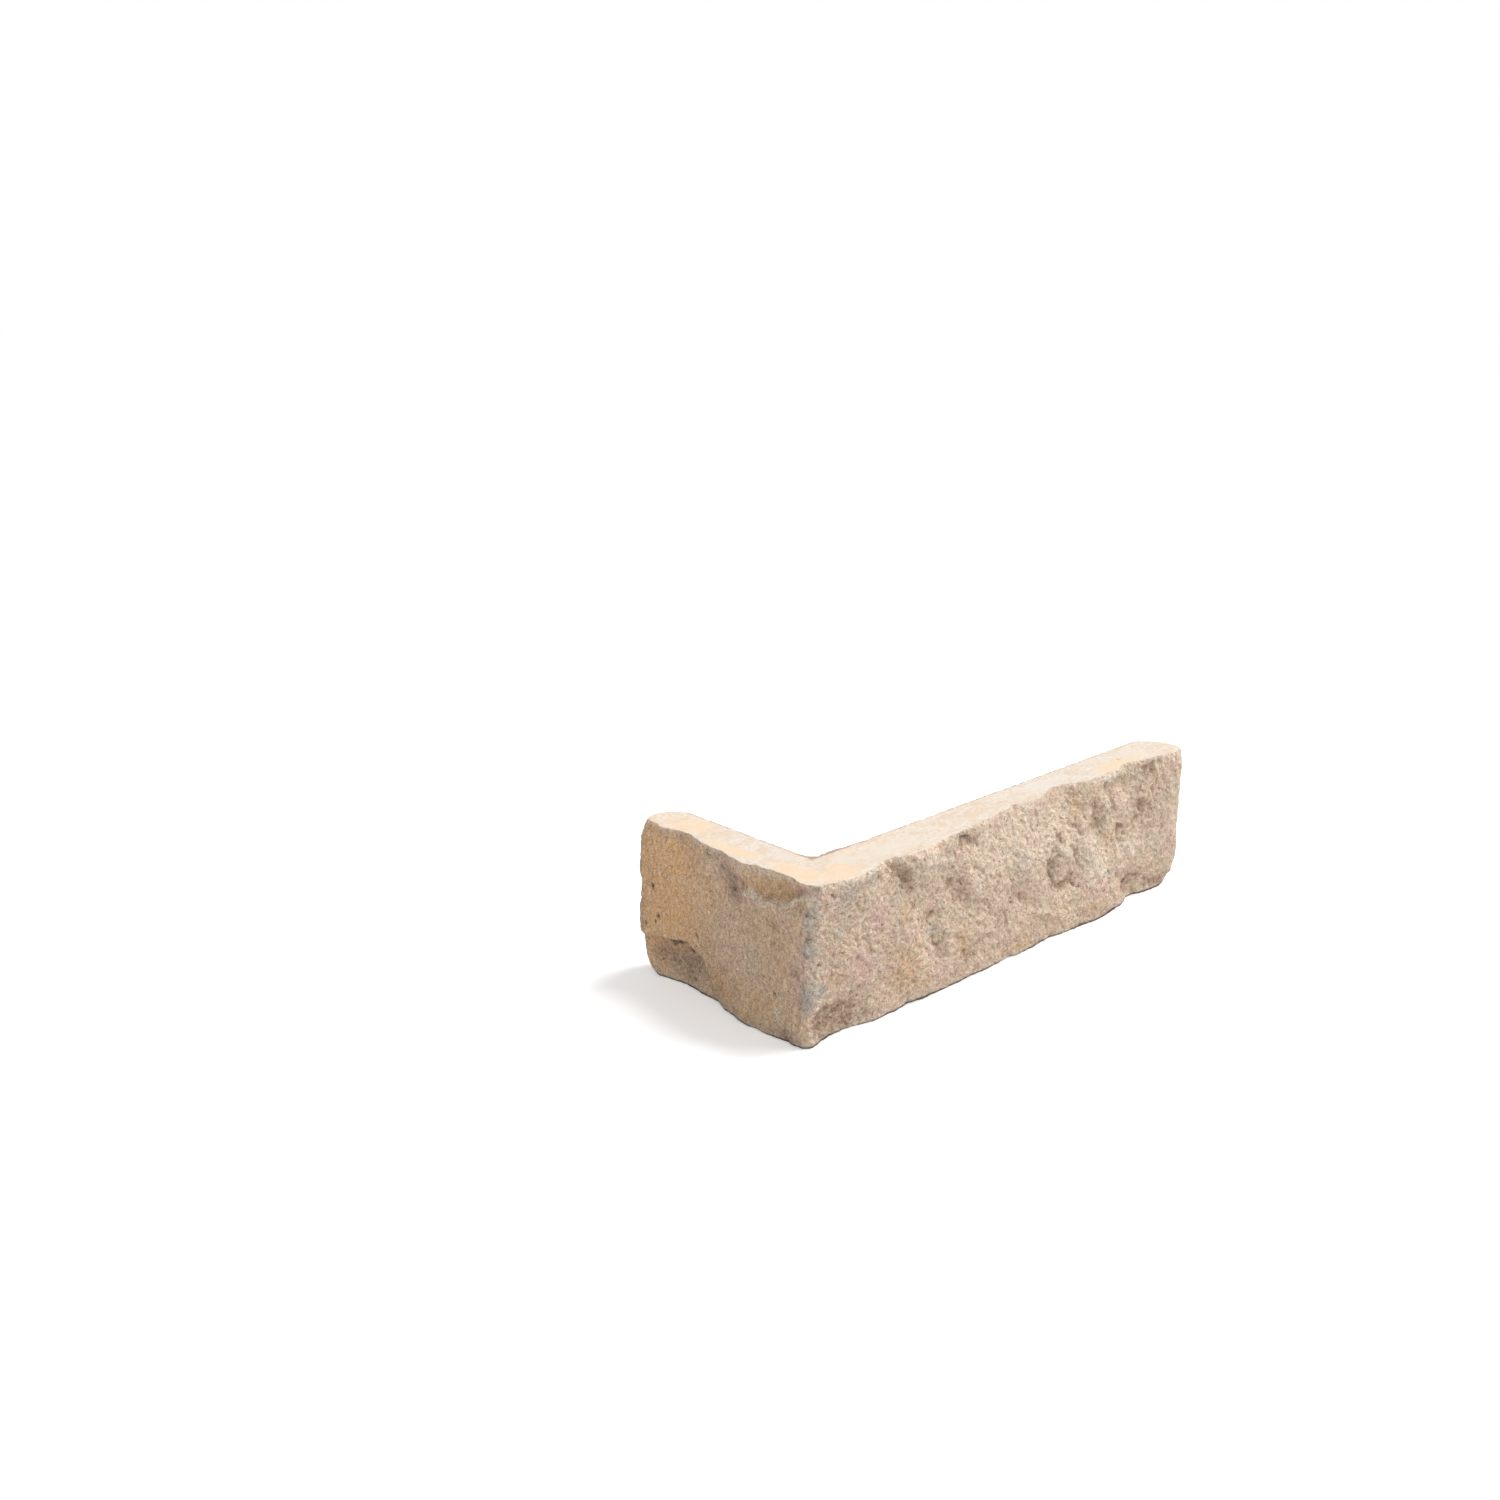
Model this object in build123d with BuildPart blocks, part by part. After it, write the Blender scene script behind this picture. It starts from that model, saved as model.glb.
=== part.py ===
"""A cast stone veneer unit for the outside corner of a wall.

It is one L-shaped casting. Two flat backs bed against the two walls, the bed and the top are flat, and the
two outer faces look like hewn stone: they swell, are hollowed in places, and are chipped along their edges.

The frame: the origin is on the bed, where the two backs would cross. +X runs along the long leg, +Y along
the short leg, and +Z goes up. All sizes are in millimetres.
"""

from build123d import *
from dataclasses import dataclass
from math import cos, exp, pi, radians, sin
import os

# Overall sizes
HEIGHT = 95.0
LONG_LEG = 350.0  # from the arris to the far end of the long leg
SHORT_LEG = 142.0  # from the arris to the far end of the short leg
LONG_THICKNESS = 28.0  # mean thickness of the long leg
SHORT_THICKNESS = 27.0  # mean thickness of the short leg

# Rounded places
INNER_FILLET = 11.0  # mortar fillet where the two backs meet
ARRIS_BLUNT = 3.5  # how far the outer arris is worn back along each face
NOSE_FRONT = 9.0  # how far a leg's end is rounded towards its outer face
NOSE_BACK = 24.0  # how far a leg's end is rounded towards its back
EDGE_WEAR = 1.3  # how far the outer faces draw in at the bed and at the top
WEAR_HEIGHT = 2.6  # how far from the bed and the top this wear is felt

# The gentle rolling of the hewn faces
ROLL = 0.8  # how far it stands out and in
ROLL_LENGTH = 44.0  # from crest to crest along a leg
ROLL_RISE = 62.0  # from crest to crest up a face
ROLL_LEAN = 0.7  # how far the crests shift along the leg for each mm of height

# How the outline is drawn
STATION = 7.0  # distance between the points along a face
LEVELS = 14  # even steps from the bed to the top
EDGE_LEVELS = (0.03, 0.97)  # two more outlines, where the bed and top edges are worn
BACK_MARGIN = 3.0  # how far an outline runs past the backs before they are cut flat
CUT_MARGIN = 5.0  # how far the cutting solid reaches past the stone


def bell(distance: float) -> float:
    """A smooth hump: 1 in the middle, and near 0 beyond twice its half width."""
    return exp(-distance * distance)


def worn_back(z: float) -> float:
    """How far the outer faces draw in at a height, because the bed and top edges are worn."""
    from_edge = min(z, HEIGHT - z)
    return EDGE_WEAR * bell(from_edge / WEAR_HEIGHT)


def rolling(along: float, z: float) -> float:
    """How far the hewn face rolls out or in at a place."""
    slanting = sin(2 * pi * (along + ROLL_LEAN * z) / ROLL_LENGTH)
    upright = cos(2 * pi * (z + along / 3) / ROLL_RISE)
    return ROLL * (slanting + upright) / 2


@dataclass(frozen=True)
class Swell:
    """A rise of a hewn face, or a hollow where proud is negative."""

    along: float  # place along the leg, as a share of its length from the arris
    height: float  # place above the bed, as a share of the height
    reach: float  # half width along the leg, in mm
    tall: float  # half height, in mm
    proud: float  # how far it stands out of the face, in mm
    lean: float = 0.0  # how far its upper end tips away from the arris, in degrees

    def felt(self, along: float, up: float) -> float:
        """How much of the swell is felt at a distance along the leg and up from its middle."""
        turn = radians(self.lean)
        across = along * cos(turn) - up * sin(turn)
        upwards = along * sin(turn) + up * cos(turn)
        return bell(across / self.reach) * bell(upwards / self.tall)


@dataclass(frozen=True)
class Leg:
    """One leg of the unit, drawn as distances along the leg and out from its flat back."""

    length: float
    thickness: float
    face_swells: tuple
    end_swells: tuple

    def rise(self, swells: tuple, along: float, z: float) -> float:
        """How far the swells stand out at a place along the leg and a height above the bed."""
        total = 0.0
        for swell in swells:
            total += swell.proud * swell.felt(along - swell.along * self.length, z - swell.height * HEIGHT)
        return total

    def out(self, along: float, z: float) -> float:
        """How far the outer face lies from the back."""
        hewn = self.rise(self.face_swells, along, z) + rolling(along, z)
        return self.thickness + hewn - worn_back(z)

    def nose(self, end: float, out: float) -> list:
        """Points round the free end: a small quarter turn to the face and a wide one to the back."""
        middle = out - NOSE_FRONT
        half_turn = pi / 4
        return [
            (end - NOSE_FRONT * (1 - sin(half_turn)), out - NOSE_FRONT * (1 - cos(half_turn))),
            (end, middle),
            (end - NOSE_BACK * (1 - cos(half_turn)), middle - (middle + BACK_MARGIN) * sin(half_turn)),
            (end - NOSE_BACK, -BACK_MARGIN),
        ]

    def outer_side(self, z: float) -> list:
        """Points of the outer side at a height, from clear of the arris to behind the free end."""
        end = self.length + self.rise(self.end_swells, self.length, z) - worn_back(z)
        shoulder = end - NOSE_FRONT
        count = round(self.length / STATION)
        stations = [shoulder * step / count for step in range(2, count + 1)]
        face = [(along, self.out(along, z)) for along in stations]
        return face + self.nose(end, self.out(shoulder, z))


LONG = Leg(
    length=LONG_LEG,
    thickness=LONG_THICKNESS,
    face_swells=(
        # the top edge, from the arris to the far end
        Swell(along=0.07, height=1.00, reach=20.0, tall=30.0, proud=5.0),  # brow beside the arris
        Swell(along=0.22, height=1.00, reach=24.0, tall=22.0, proud=4.0),  # second brow
        Swell(along=0.19, height=0.86, reach=6.0, tall=15.0, proud=-4.0, lean=-38.0),  # cleft under the brows
        Swell(along=0.32, height=1.00, reach=12.0, tall=6.0, proud=2.0),  # lip over the ledge
        Swell(along=0.36, height=0.92, reach=11.0, tall=6.5, proud=-3.2),  # ledge broken out under it
        Swell(along=0.38, height=1.02, reach=7.0, tall=9.0, proud=3.0),  # small overhanging chip
        Swell(along=0.48, height=1.00, reach=26.0, tall=30.0, proud=-5.0),  # dip along the top
        Swell(along=0.63, height=1.00, reach=17.0, tall=24.0, proud=-9.0),  # deepest dip of the top
        Swell(along=0.75, height=0.98, reach=15.0, tall=14.0, proud=-2.5),  # shallow dip after it
        Swell(along=0.79, height=0.96, reach=16.0, tall=5.0, proud=2.6, lean=3.0),  # pale brow
        Swell(along=0.78, height=0.88, reach=15.0, tall=5.0, proud=-1.8),  # its shaded underside
        Swell(along=0.83, height=1.00, reach=13.0, tall=20.0, proud=-7.0),  # last dip of the top
        Swell(along=0.88, height=0.93, reach=7.0, tall=8.0, proud=-2.4, lean=-25.0),  # hollow under it
        Swell(along=0.96, height=0.55, reach=20.0, tall=75.0, proud=4.5),  # fullness of the far end
        # the near third
        Swell(along=0.06, height=0.00, reach=24.0, tall=18.0, proud=-6.0),  # scoop at the arris's foot
        Swell(along=0.03, height=0.14, reach=24.0, tall=7.0, proud=-1.8, lean=-10.0),  # its broken upper edge
        Swell(along=0.13, height=0.52, reach=16.0, tall=20.0, proud=1.6),  # low swelling beside the arris
        Swell(along=0.23, height=0.64, reach=12.0, tall=13.0, proud=1.4),  # low swelling under the cleft
        Swell(along=0.27, height=0.47, reach=7.0, tall=11.0, proud=-3.4, lean=-12.0),  # upright hollow
        Swell(along=0.29, height=0.28, reach=6.0, tall=9.0, proud=-1.6, lean=-15.0),  # the end of it
        # the middle
        Swell(along=0.33, height=0.65, reach=6.5, tall=13.0, proud=-3.4, lean=-38.0),  # slanting hollow
        Swell(along=0.37, height=0.62, reach=8.0, tall=10.0, proud=1.6, lean=-38.0),  # the ridge beside it
        Swell(along=0.38, height=0.20, reach=15.0, tall=5.5, proud=-2.0, lean=6.0),  # flake off the belly
        Swell(along=0.45, height=0.30, reach=80.0, tall=32.0, proud=3.0),  # belly of the lower half
        Swell(along=0.47, height=0.66, reach=18.0, tall=20.0, proud=2.0),  # rise left of the middle
        Swell(along=0.51, height=0.61, reach=12.0, tall=12.0, proud=2.2),  # its crest
        Swell(along=0.51, height=0.37, reach=7.0, tall=19.0, proud=-3.0, lean=-52.0),  # groove under the rise
        Swell(along=0.56, height=0.24, reach=6.5, tall=22.0, proud=2.2, lean=-66.0),  # slanting ridge
        # the pocket and the ribs of the far half
        Swell(along=0.595, height=0.47, reach=8.0, tall=11.0, proud=-5.6, lean=-18.0),  # pocket
        Swell(along=0.65, height=0.37, reach=8.0, tall=4.5, proud=-2.2),  # its shallow right end
        Swell(along=0.62, height=0.62, reach=5.5, tall=11.0, proud=2.4, lean=-48.0),  # first rib
        Swell(along=0.665, height=0.52, reach=4.5, tall=8.0, proud=-2.4, lean=-15.0),  # cleft after it
        Swell(along=0.70, height=0.54, reach=7.0, tall=8.0, proud=2.0, lean=-35.0),  # second rib
        Swell(along=0.725, height=0.75, reach=5.0, tall=11.0, proud=-3.0, lean=-8.0),  # cleft after it
        Swell(along=0.755, height=0.72, reach=4.5, tall=13.0, proud=2.2, lean=-10.0),  # third rib
        Swell(along=0.785, height=0.76, reach=4.5, tall=9.0, proud=-2.8),  # cleft after it
        Swell(along=0.805, height=0.57, reach=5.5, tall=8.5, proud=-3.0, lean=-22.0),  # lower cleft
        Swell(along=0.87, height=0.69, reach=8.0, tall=8.5, proud=-2.4, lean=-25.0),  # last hollow
        # the foot
        Swell(along=0.74, height=0.12, reach=28.0, tall=30.0, proud=6.0),  # foot that stands out
        Swell(along=0.86, height=0.00, reach=13.0, tall=14.0, proud=-3.5),  # chip in the foot
        Swell(along=0.845, height=0.13, reach=12.0, tall=5.5, proud=-2.6),  # the arc over the chip
    ),
    end_swells=(
        Swell(along=1.0, height=0.28, reach=1.0, tall=50.0, proud=5.0),  # the end leans out downwards
        Swell(along=1.0, height=0.00, reach=1.0, tall=8.0, proud=-9.0),  # its lower corner is chipped
    ),
)

SHORT = Leg(
    length=SHORT_LEG,
    thickness=SHORT_THICKNESS,
    face_swells=(
        # the upper half
        Swell(along=0.02, height=0.50, reach=16.0, tall=60.0, proud=1.5),  # fullness beside the arris
        Swell(along=0.40, height=0.97, reach=14.0, tall=10.0, proud=4.5),  # ledge under the top edge
        Swell(along=0.20, height=0.91, reach=20.0, tall=7.0, proud=-2.2),  # scar of a flake beside the arris
        Swell(along=0.22, height=0.77, reach=24.0, tall=6.5, proud=2.4),  # lip along the scar's foot
        Swell(along=0.47, height=0.80, reach=10.0, tall=14.0, proud=-2.8, lean=-14.0),  # pitted dent
        Swell(along=0.74, height=1.00, reach=12.0, tall=22.0, proud=-4.0),  # dip of the top edge
        Swell(along=0.80, height=0.86, reach=16.0, tall=14.0, proud=1.6),  # low swelling by the free end
        # the middle
        Swell(along=0.55, height=0.62, reach=34.0, tall=26.0, proud=-1.5),  # flat middle
        Swell(along=0.58, height=0.68, reach=14.0, tall=6.0, proud=-1.4, lean=-65.0),  # slanting crease
        Swell(along=0.92, height=0.42, reach=26.0, tall=42.0, proud=3.0),  # belly of the free end
        # the foot
        Swell(along=0.30, height=0.05, reach=26.0, tall=24.0, proud=5.5),  # foot near the arris
        Swell(along=0.74, height=0.06, reach=22.0, tall=17.0, proud=-4.0),  # chip along the foot
        Swell(along=0.74, height=0.24, reach=18.0, tall=6.0, proud=-1.8),  # the chip's upper edge
        Swell(along=0.95, height=0.10, reach=12.0, tall=12.0, proud=1.5),  # fuller corner of the foot
    ),
    end_swells=(
        Swell(along=1.0, height=0.42, reach=1.0, tall=42.0, proud=2.5),  # a full end
        Swell(along=1.0, height=0.00, reach=1.0, tall=12.0, proud=-5.0),  # drawn in at its foot
    ),
)


def long_outline(z: float) -> list:
    """The long leg's outer side at a height, from the arris, in X and Y."""
    arris_point = (ARRIS_BLUNT - SHORT.out(0.0, z), -LONG.out(0.0, z))
    side = [(along - SHORT_THICKNESS, -out) for along, out in LONG.outer_side(z)]
    return [arris_point] + side


def short_outline(z: float) -> list:
    """The short leg's outer side at a height, from the arris, in X and Y."""
    arris_point = (-SHORT.out(0.0, z), ARRIS_BLUNT - LONG.out(0.0, z))
    side = [(-out, along - LONG_THICKNESS) for along, out in SHORT.outer_side(z)]
    return [arris_point] + side


def level_shares() -> list:
    """The heights of the outlines, as shares of the stone's height."""
    even = [step / LEVELS for step in range(LEVELS + 1)]
    return sorted(even + list(EDGE_LEVELS))


with BuildPart() as corner_stone:
    # the whole stone, with its backs left too full
    for share in level_shares():
        level = share * HEIGHT
        long_points = long_outline(level)
        short_points = short_outline(level)
        with BuildSketch(Plane.XY.offset(level)):
            with BuildLine():
                Spline(*long_points)
                Polyline(long_points[-1], (BACK_MARGIN, BACK_MARGIN), short_points[-1])
                Spline(*short_points)
                Line(short_points[0], long_points[0])
            make_face()
    loft()

    # the building's corner, which leaves the two flat backs
    with BuildSketch(Plane.XY.offset(-CUT_MARGIN)) as wall_corner:
        Rectangle(LONG_LEG + CUT_MARGIN, SHORT_LEG + CUT_MARGIN, align=(Align.MIN, Align.MIN))
        fillet(wall_corner.vertices().sort_by_distance((0, 0, -CUT_MARGIN))[0], radius=INNER_FILLET)
    extrude(amount=HEIGHT + 2 * CUT_MARGIN, mode=Mode.SUBTRACT)

os.makedirs("parts", exist_ok=True)
corner_stone.part.label = "corner_stone"
export_step(corner_stone.part, "parts/corner_stone.step")
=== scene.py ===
"""The looks of a cast stone veneer corner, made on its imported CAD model.

The stone's own frame is used throughout: the origin is on the bed where the two backs would cross, +X runs
along the long leg, +Y along the short leg and +Z up. Sizes are in millimetres until a mesh is written.
"""

import logging
from dataclasses import dataclass, field, replace
from enum import Enum
from math import cos, radians, sin
from typing import Callable, Optional, Union

import bmesh
import bpy
import numpy as np
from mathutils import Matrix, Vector, noise


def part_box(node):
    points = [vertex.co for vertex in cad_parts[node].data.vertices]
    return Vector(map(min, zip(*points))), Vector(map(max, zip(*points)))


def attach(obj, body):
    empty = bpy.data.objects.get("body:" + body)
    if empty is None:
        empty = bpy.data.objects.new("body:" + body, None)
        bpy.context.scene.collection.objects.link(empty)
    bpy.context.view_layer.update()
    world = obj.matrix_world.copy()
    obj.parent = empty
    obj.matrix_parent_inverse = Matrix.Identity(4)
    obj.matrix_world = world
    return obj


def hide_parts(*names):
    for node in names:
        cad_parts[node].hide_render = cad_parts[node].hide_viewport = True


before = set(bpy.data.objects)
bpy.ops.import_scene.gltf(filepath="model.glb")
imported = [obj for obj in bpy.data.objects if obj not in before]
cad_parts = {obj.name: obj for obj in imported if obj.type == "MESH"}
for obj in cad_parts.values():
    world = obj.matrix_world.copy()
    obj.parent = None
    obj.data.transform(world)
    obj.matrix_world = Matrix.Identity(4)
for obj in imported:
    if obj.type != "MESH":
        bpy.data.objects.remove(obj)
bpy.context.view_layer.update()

MM = 0.001
log = logging.getLogger("corner_stone")

Tree = bpy.types.NodeTree
Socket = bpy.types.NodeSocket
Outputs = bpy.types.NodeOutputs
Feed = Union[Socket, float, tuple]
Wires = dict[str, Socket]
Colour = tuple[float, float, float, float]
Trail = tuple[tuple[float, float], ...]


def painted(red: int, green: int, blue: int) -> Colour:
    """A colour as a paint chart gives it, turned into the linear colour that a shader takes.

    Args:
        red: from 0 to 255, as are the others.
        green: the same for green.
        blue: the same for blue.

    Returns:
        The colour with an alpha of 1.
    """
    parts = [value / 255 for value in (red, green, blue)]
    linear = [part / 12.92 if part <= 0.04045 else ((part + 0.055) / 1.055) ** 2.4 for part in parts]
    return (linear[0], linear[1], linear[2], 1.0)


def eased(values: np.ndarray) -> np.ndarray:
    """A smooth step from 0 to 1 while the values go from 0 to 1."""
    held = np.clip(values, 0.0, 1.0)
    return held * held * (3.0 - 2.0 * held)


# The hewn relief

OCTAVES = 3
OCTAVE_STEP = 2.1
ROLL_SHARE = 0.8
CREST_LEVEL = 0.35
CREST_SHARE = 1.4


def face_rows(along: np.ndarray, height: np.ndarray) -> np.ndarray:
    """Places on a flat face, one row of along, out and height for each."""
    return np.column_stack((along, np.zeros_like(along), height))


@dataclass(frozen=True)
class Hump:
    """An oval rise of a hewn face, or a hollow where proud is negative.

    along is measured from the wall's corner and height from the bed. lean turns the oval, in degrees: a
    positive lean moves its upper end away from the arris.
    """

    along: float
    height: float
    reach: float
    tall: float
    proud: float
    lean: float = 0.0

    def share(self, along: np.ndarray, height: np.ndarray) -> np.ndarray:
        """How much of the oval is felt at each place.

        Args:
            along: distances from the wall's corner.
            height: heights above the bed.

        Returns:
            A share from 0 to 1 for each place.
        """
        turn = radians(self.lean)
        right = along - self.along
        up = height - self.height
        across = right * cos(turn) - up * sin(turn)
        upwards = right * sin(turn) + up * cos(turn)
        return np.exp(-((across / self.reach) ** 2) - (upwards / self.tall) ** 2)

    def relief(self, along: np.ndarray, height: np.ndarray) -> np.ndarray:
        """How far the oval stands out at each place."""
        return self.proud * self.share(along, height)


class Side(Enum):
    """The side of a broken edge that its relief is on."""

    ABOVE = 1
    BELOW = -1


@dataclass(frozen=True)
class Break:
    """A broken edge across a face: on one side of it the face steps out or in, and eases back over a run."""

    trail: Trail
    side: Side
    proud: float
    run: float
    step: float = 1.6
    fade: float = 7.0

    def relief(self, along: np.ndarray, height: np.ndarray) -> np.ndarray:
        """How far the face stands out at each place.

        Args:
            along: distances from the wall's corner.
            height: heights above the bed.

        Returns:
            The relief in mm for each place.
        """
        places, levels = zip(*self.trail)
        past = (height - np.interp(along, places, levels)) * self.side.value
        ends = eased((along - places[0]) / self.fade + 0.5) * eased((places[-1] - along) / self.fade + 0.5)
        slope = np.exp(-((np.maximum(past, 0.0) / self.run) ** 2))
        return self.proud * ends * eased(past / self.step + 0.5) * slope


@dataclass(frozen=True)
class Crease:
    """A narrow groove along a trail, or a narrow rib where depth is negative."""

    trail: Trail
    width: float
    depth: float

    def relief(self, along: np.ndarray, height: np.ndarray) -> np.ndarray:
        """How far the face stands out at each place.

        Args:
            along: distances from the wall's corner.
            height: heights above the bed.

        Returns:
            The relief in mm for each place.
        """
        nearest = np.full(along.shape, np.inf)
        for (start_u, start_z), (end_u, end_z) in zip(self.trail, self.trail[1:]):
            run_u, run_z = end_u - start_u, end_z - start_z
            length = run_u**2 + run_z**2
            share = ((along - start_u) * run_u + (height - start_z) * run_z) / length
            share = np.clip(share, 0.0, 1.0)
            gap = np.hypot(along - start_u - share * run_u, height - start_z - share * run_z)
            nearest = np.minimum(nearest, gap)
        return -self.depth * np.exp(-((nearest / self.width) ** 2))


class Texture(Enum):
    """The shape of an evenly spread unevenness."""

    ROLLING = "rolling"
    BROKEN = "broken"

    def sample(self, place: tuple[float, float, float]) -> float:
        """The unevenness at one place.

        Args:
            place: the place, in steps of the unevenness's own size.

        Returns:
            A height, with about 1 between its lowest and its highest.
        """
        soft = noise.fractal(place, 1.0, OCTAVE_STEP, OCTAVES)
        if self is Texture.BROKEN:
            return CREST_LEVEL - abs(soft) * CREST_SHARE
        return soft * ROLL_SHARE


@dataclass(frozen=True)
class Unevenness:
    """One size of unevenness: the distance between its crests, how far they rise, and how they run."""

    texture: Texture
    size: float
    rise: float
    stretch: float = 1.0
    lean: float = 0.0
    seed: float = 0.0

    def heights(self, places: np.ndarray) -> np.ndarray:
        """How far it stands out at each place.

        Args:
            places: one row of along, out and height for each place, in mm.

        Returns:
            One height for each row, in mm.
        """
        turn = radians(self.lean)
        across = places[:, 0] * cos(turn) - places[:, 2] * sin(turn)
        upwards = places[:, 0] * sin(turn) + places[:, 2] * cos(turn)
        turned = np.column_stack((across, places[:, 1], upwards / self.stretch)) / self.size + self.seed
        return self.rise * np.array([self.texture.sample(place) for place in turned.tolist()])


@dataclass(frozen=True)
class Streaked:
    """A patch of a hewn face that an unevenness of its own runs through."""

    patch: Hump
    unevenness: Unevenness

    def relief(self, along: np.ndarray, height: np.ndarray) -> np.ndarray:
        """How far the face stands out at each place."""
        return self.patch.share(along, height) * self.unevenness.heights(face_rows(along, height))


def streaks(
    along: float,
    height: float,
    reach: float,
    tall: float,
    size: float,
    rise: float,
    stretch: float = 1.0,
    lean: float = 0.0,
    seed: float = 0.0,
    texture: Texture = Texture.BROKEN,
) -> Streaked:
    """A patch of streaks. The first four sizes place it as a hump's do, and the rest are its unevenness's."""
    patch = Hump(along, height, reach, tall, 1.0)
    return Streaked(patch, Unevenness(texture, size, rise, stretch, lean, seed))


Form = Union[Hump, Break, Crease, Streaked]


class Tint(Enum):
    """The pigments that stain a hewn face. The pit tint is painted shade, the brown is partly painted shade
    and the cream partly painted highlight. The value names the mesh attribute that holds how much.
    """

    TAN = "tan"
    OCHRE = "ochre"
    PINK = "pink"
    GREY_BLUE = "grey_blue"
    CREAM = "cream"
    BROWN = "brown"
    PIT_SHADE = "pit"


@dataclass(frozen=True)
class HewnFace:
    """One outer face: its broken forms, its unevenness, and where it is stained or painted with shade and
    highlight.
    """

    forms: tuple[Form, ...]
    unevenness: tuple[Unevenness, ...]
    stains: dict[Tint, tuple[Form, ...]]
    wander: float = 3.2
    wander_size: float = 9.0
    wander_seeds: tuple[float, float] = (31.0, 57.0)
    stain_wander: float = 2.0

    def wandered(self, along: np.ndarray, height: np.ndarray) -> tuple[np.ndarray, np.ndarray]:
        """The places moved about a little, so that no form keeps a drawn outline.

        Args:
            along: distances from the wall's corner.
            height: heights above the bed.

        Returns:
            The moved distances and the moved heights.
        """
        places = face_rows(along, height)
        sideways, upwards = (
            Unevenness(Texture.ROLLING, self.wander_size, self.wander, seed=seed).heights(places)
            for seed in self.wander_seeds
        )
        return along + sideways, height + upwards

    def relief(self, along: np.ndarray, height: np.ndarray) -> np.ndarray:
        """How far the face stands out at each place.

        Args:
            along: distances from the wall's corner.
            height: heights above the bed.

        Returns:
            The relief in mm for each place.
        """
        moved_along, moved_height = self.wandered(along, height)
        total = sum(form.relief(moved_along, moved_height) for form in self.forms)
        places = face_rows(along, height)
        return total + sum(layer.heights(places) for layer in self.unevenness)

    def stained(self, tint: Tint, along: np.ndarray, height: np.ndarray) -> np.ndarray:
        """How much of a tint lies at each place.

        Args:
            tint: the pigment.
            along: distances from the wall's corner.
            height: heights above the bed.

        Returns:
            About 0 where there is none and 1 or more where it is full.
        """
        moved_along, moved_height = self.wandered(along, height)
        moved_along = along + self.stain_wander * (moved_along - along)
        moved_height = height + self.stain_wander * (moved_height - height)
        total = np.zeros_like(along)
        for spot in self.stains.get(tint, ()):
            total = np.maximum(total, spot.relief(moved_along, moved_height))
        return total


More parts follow.
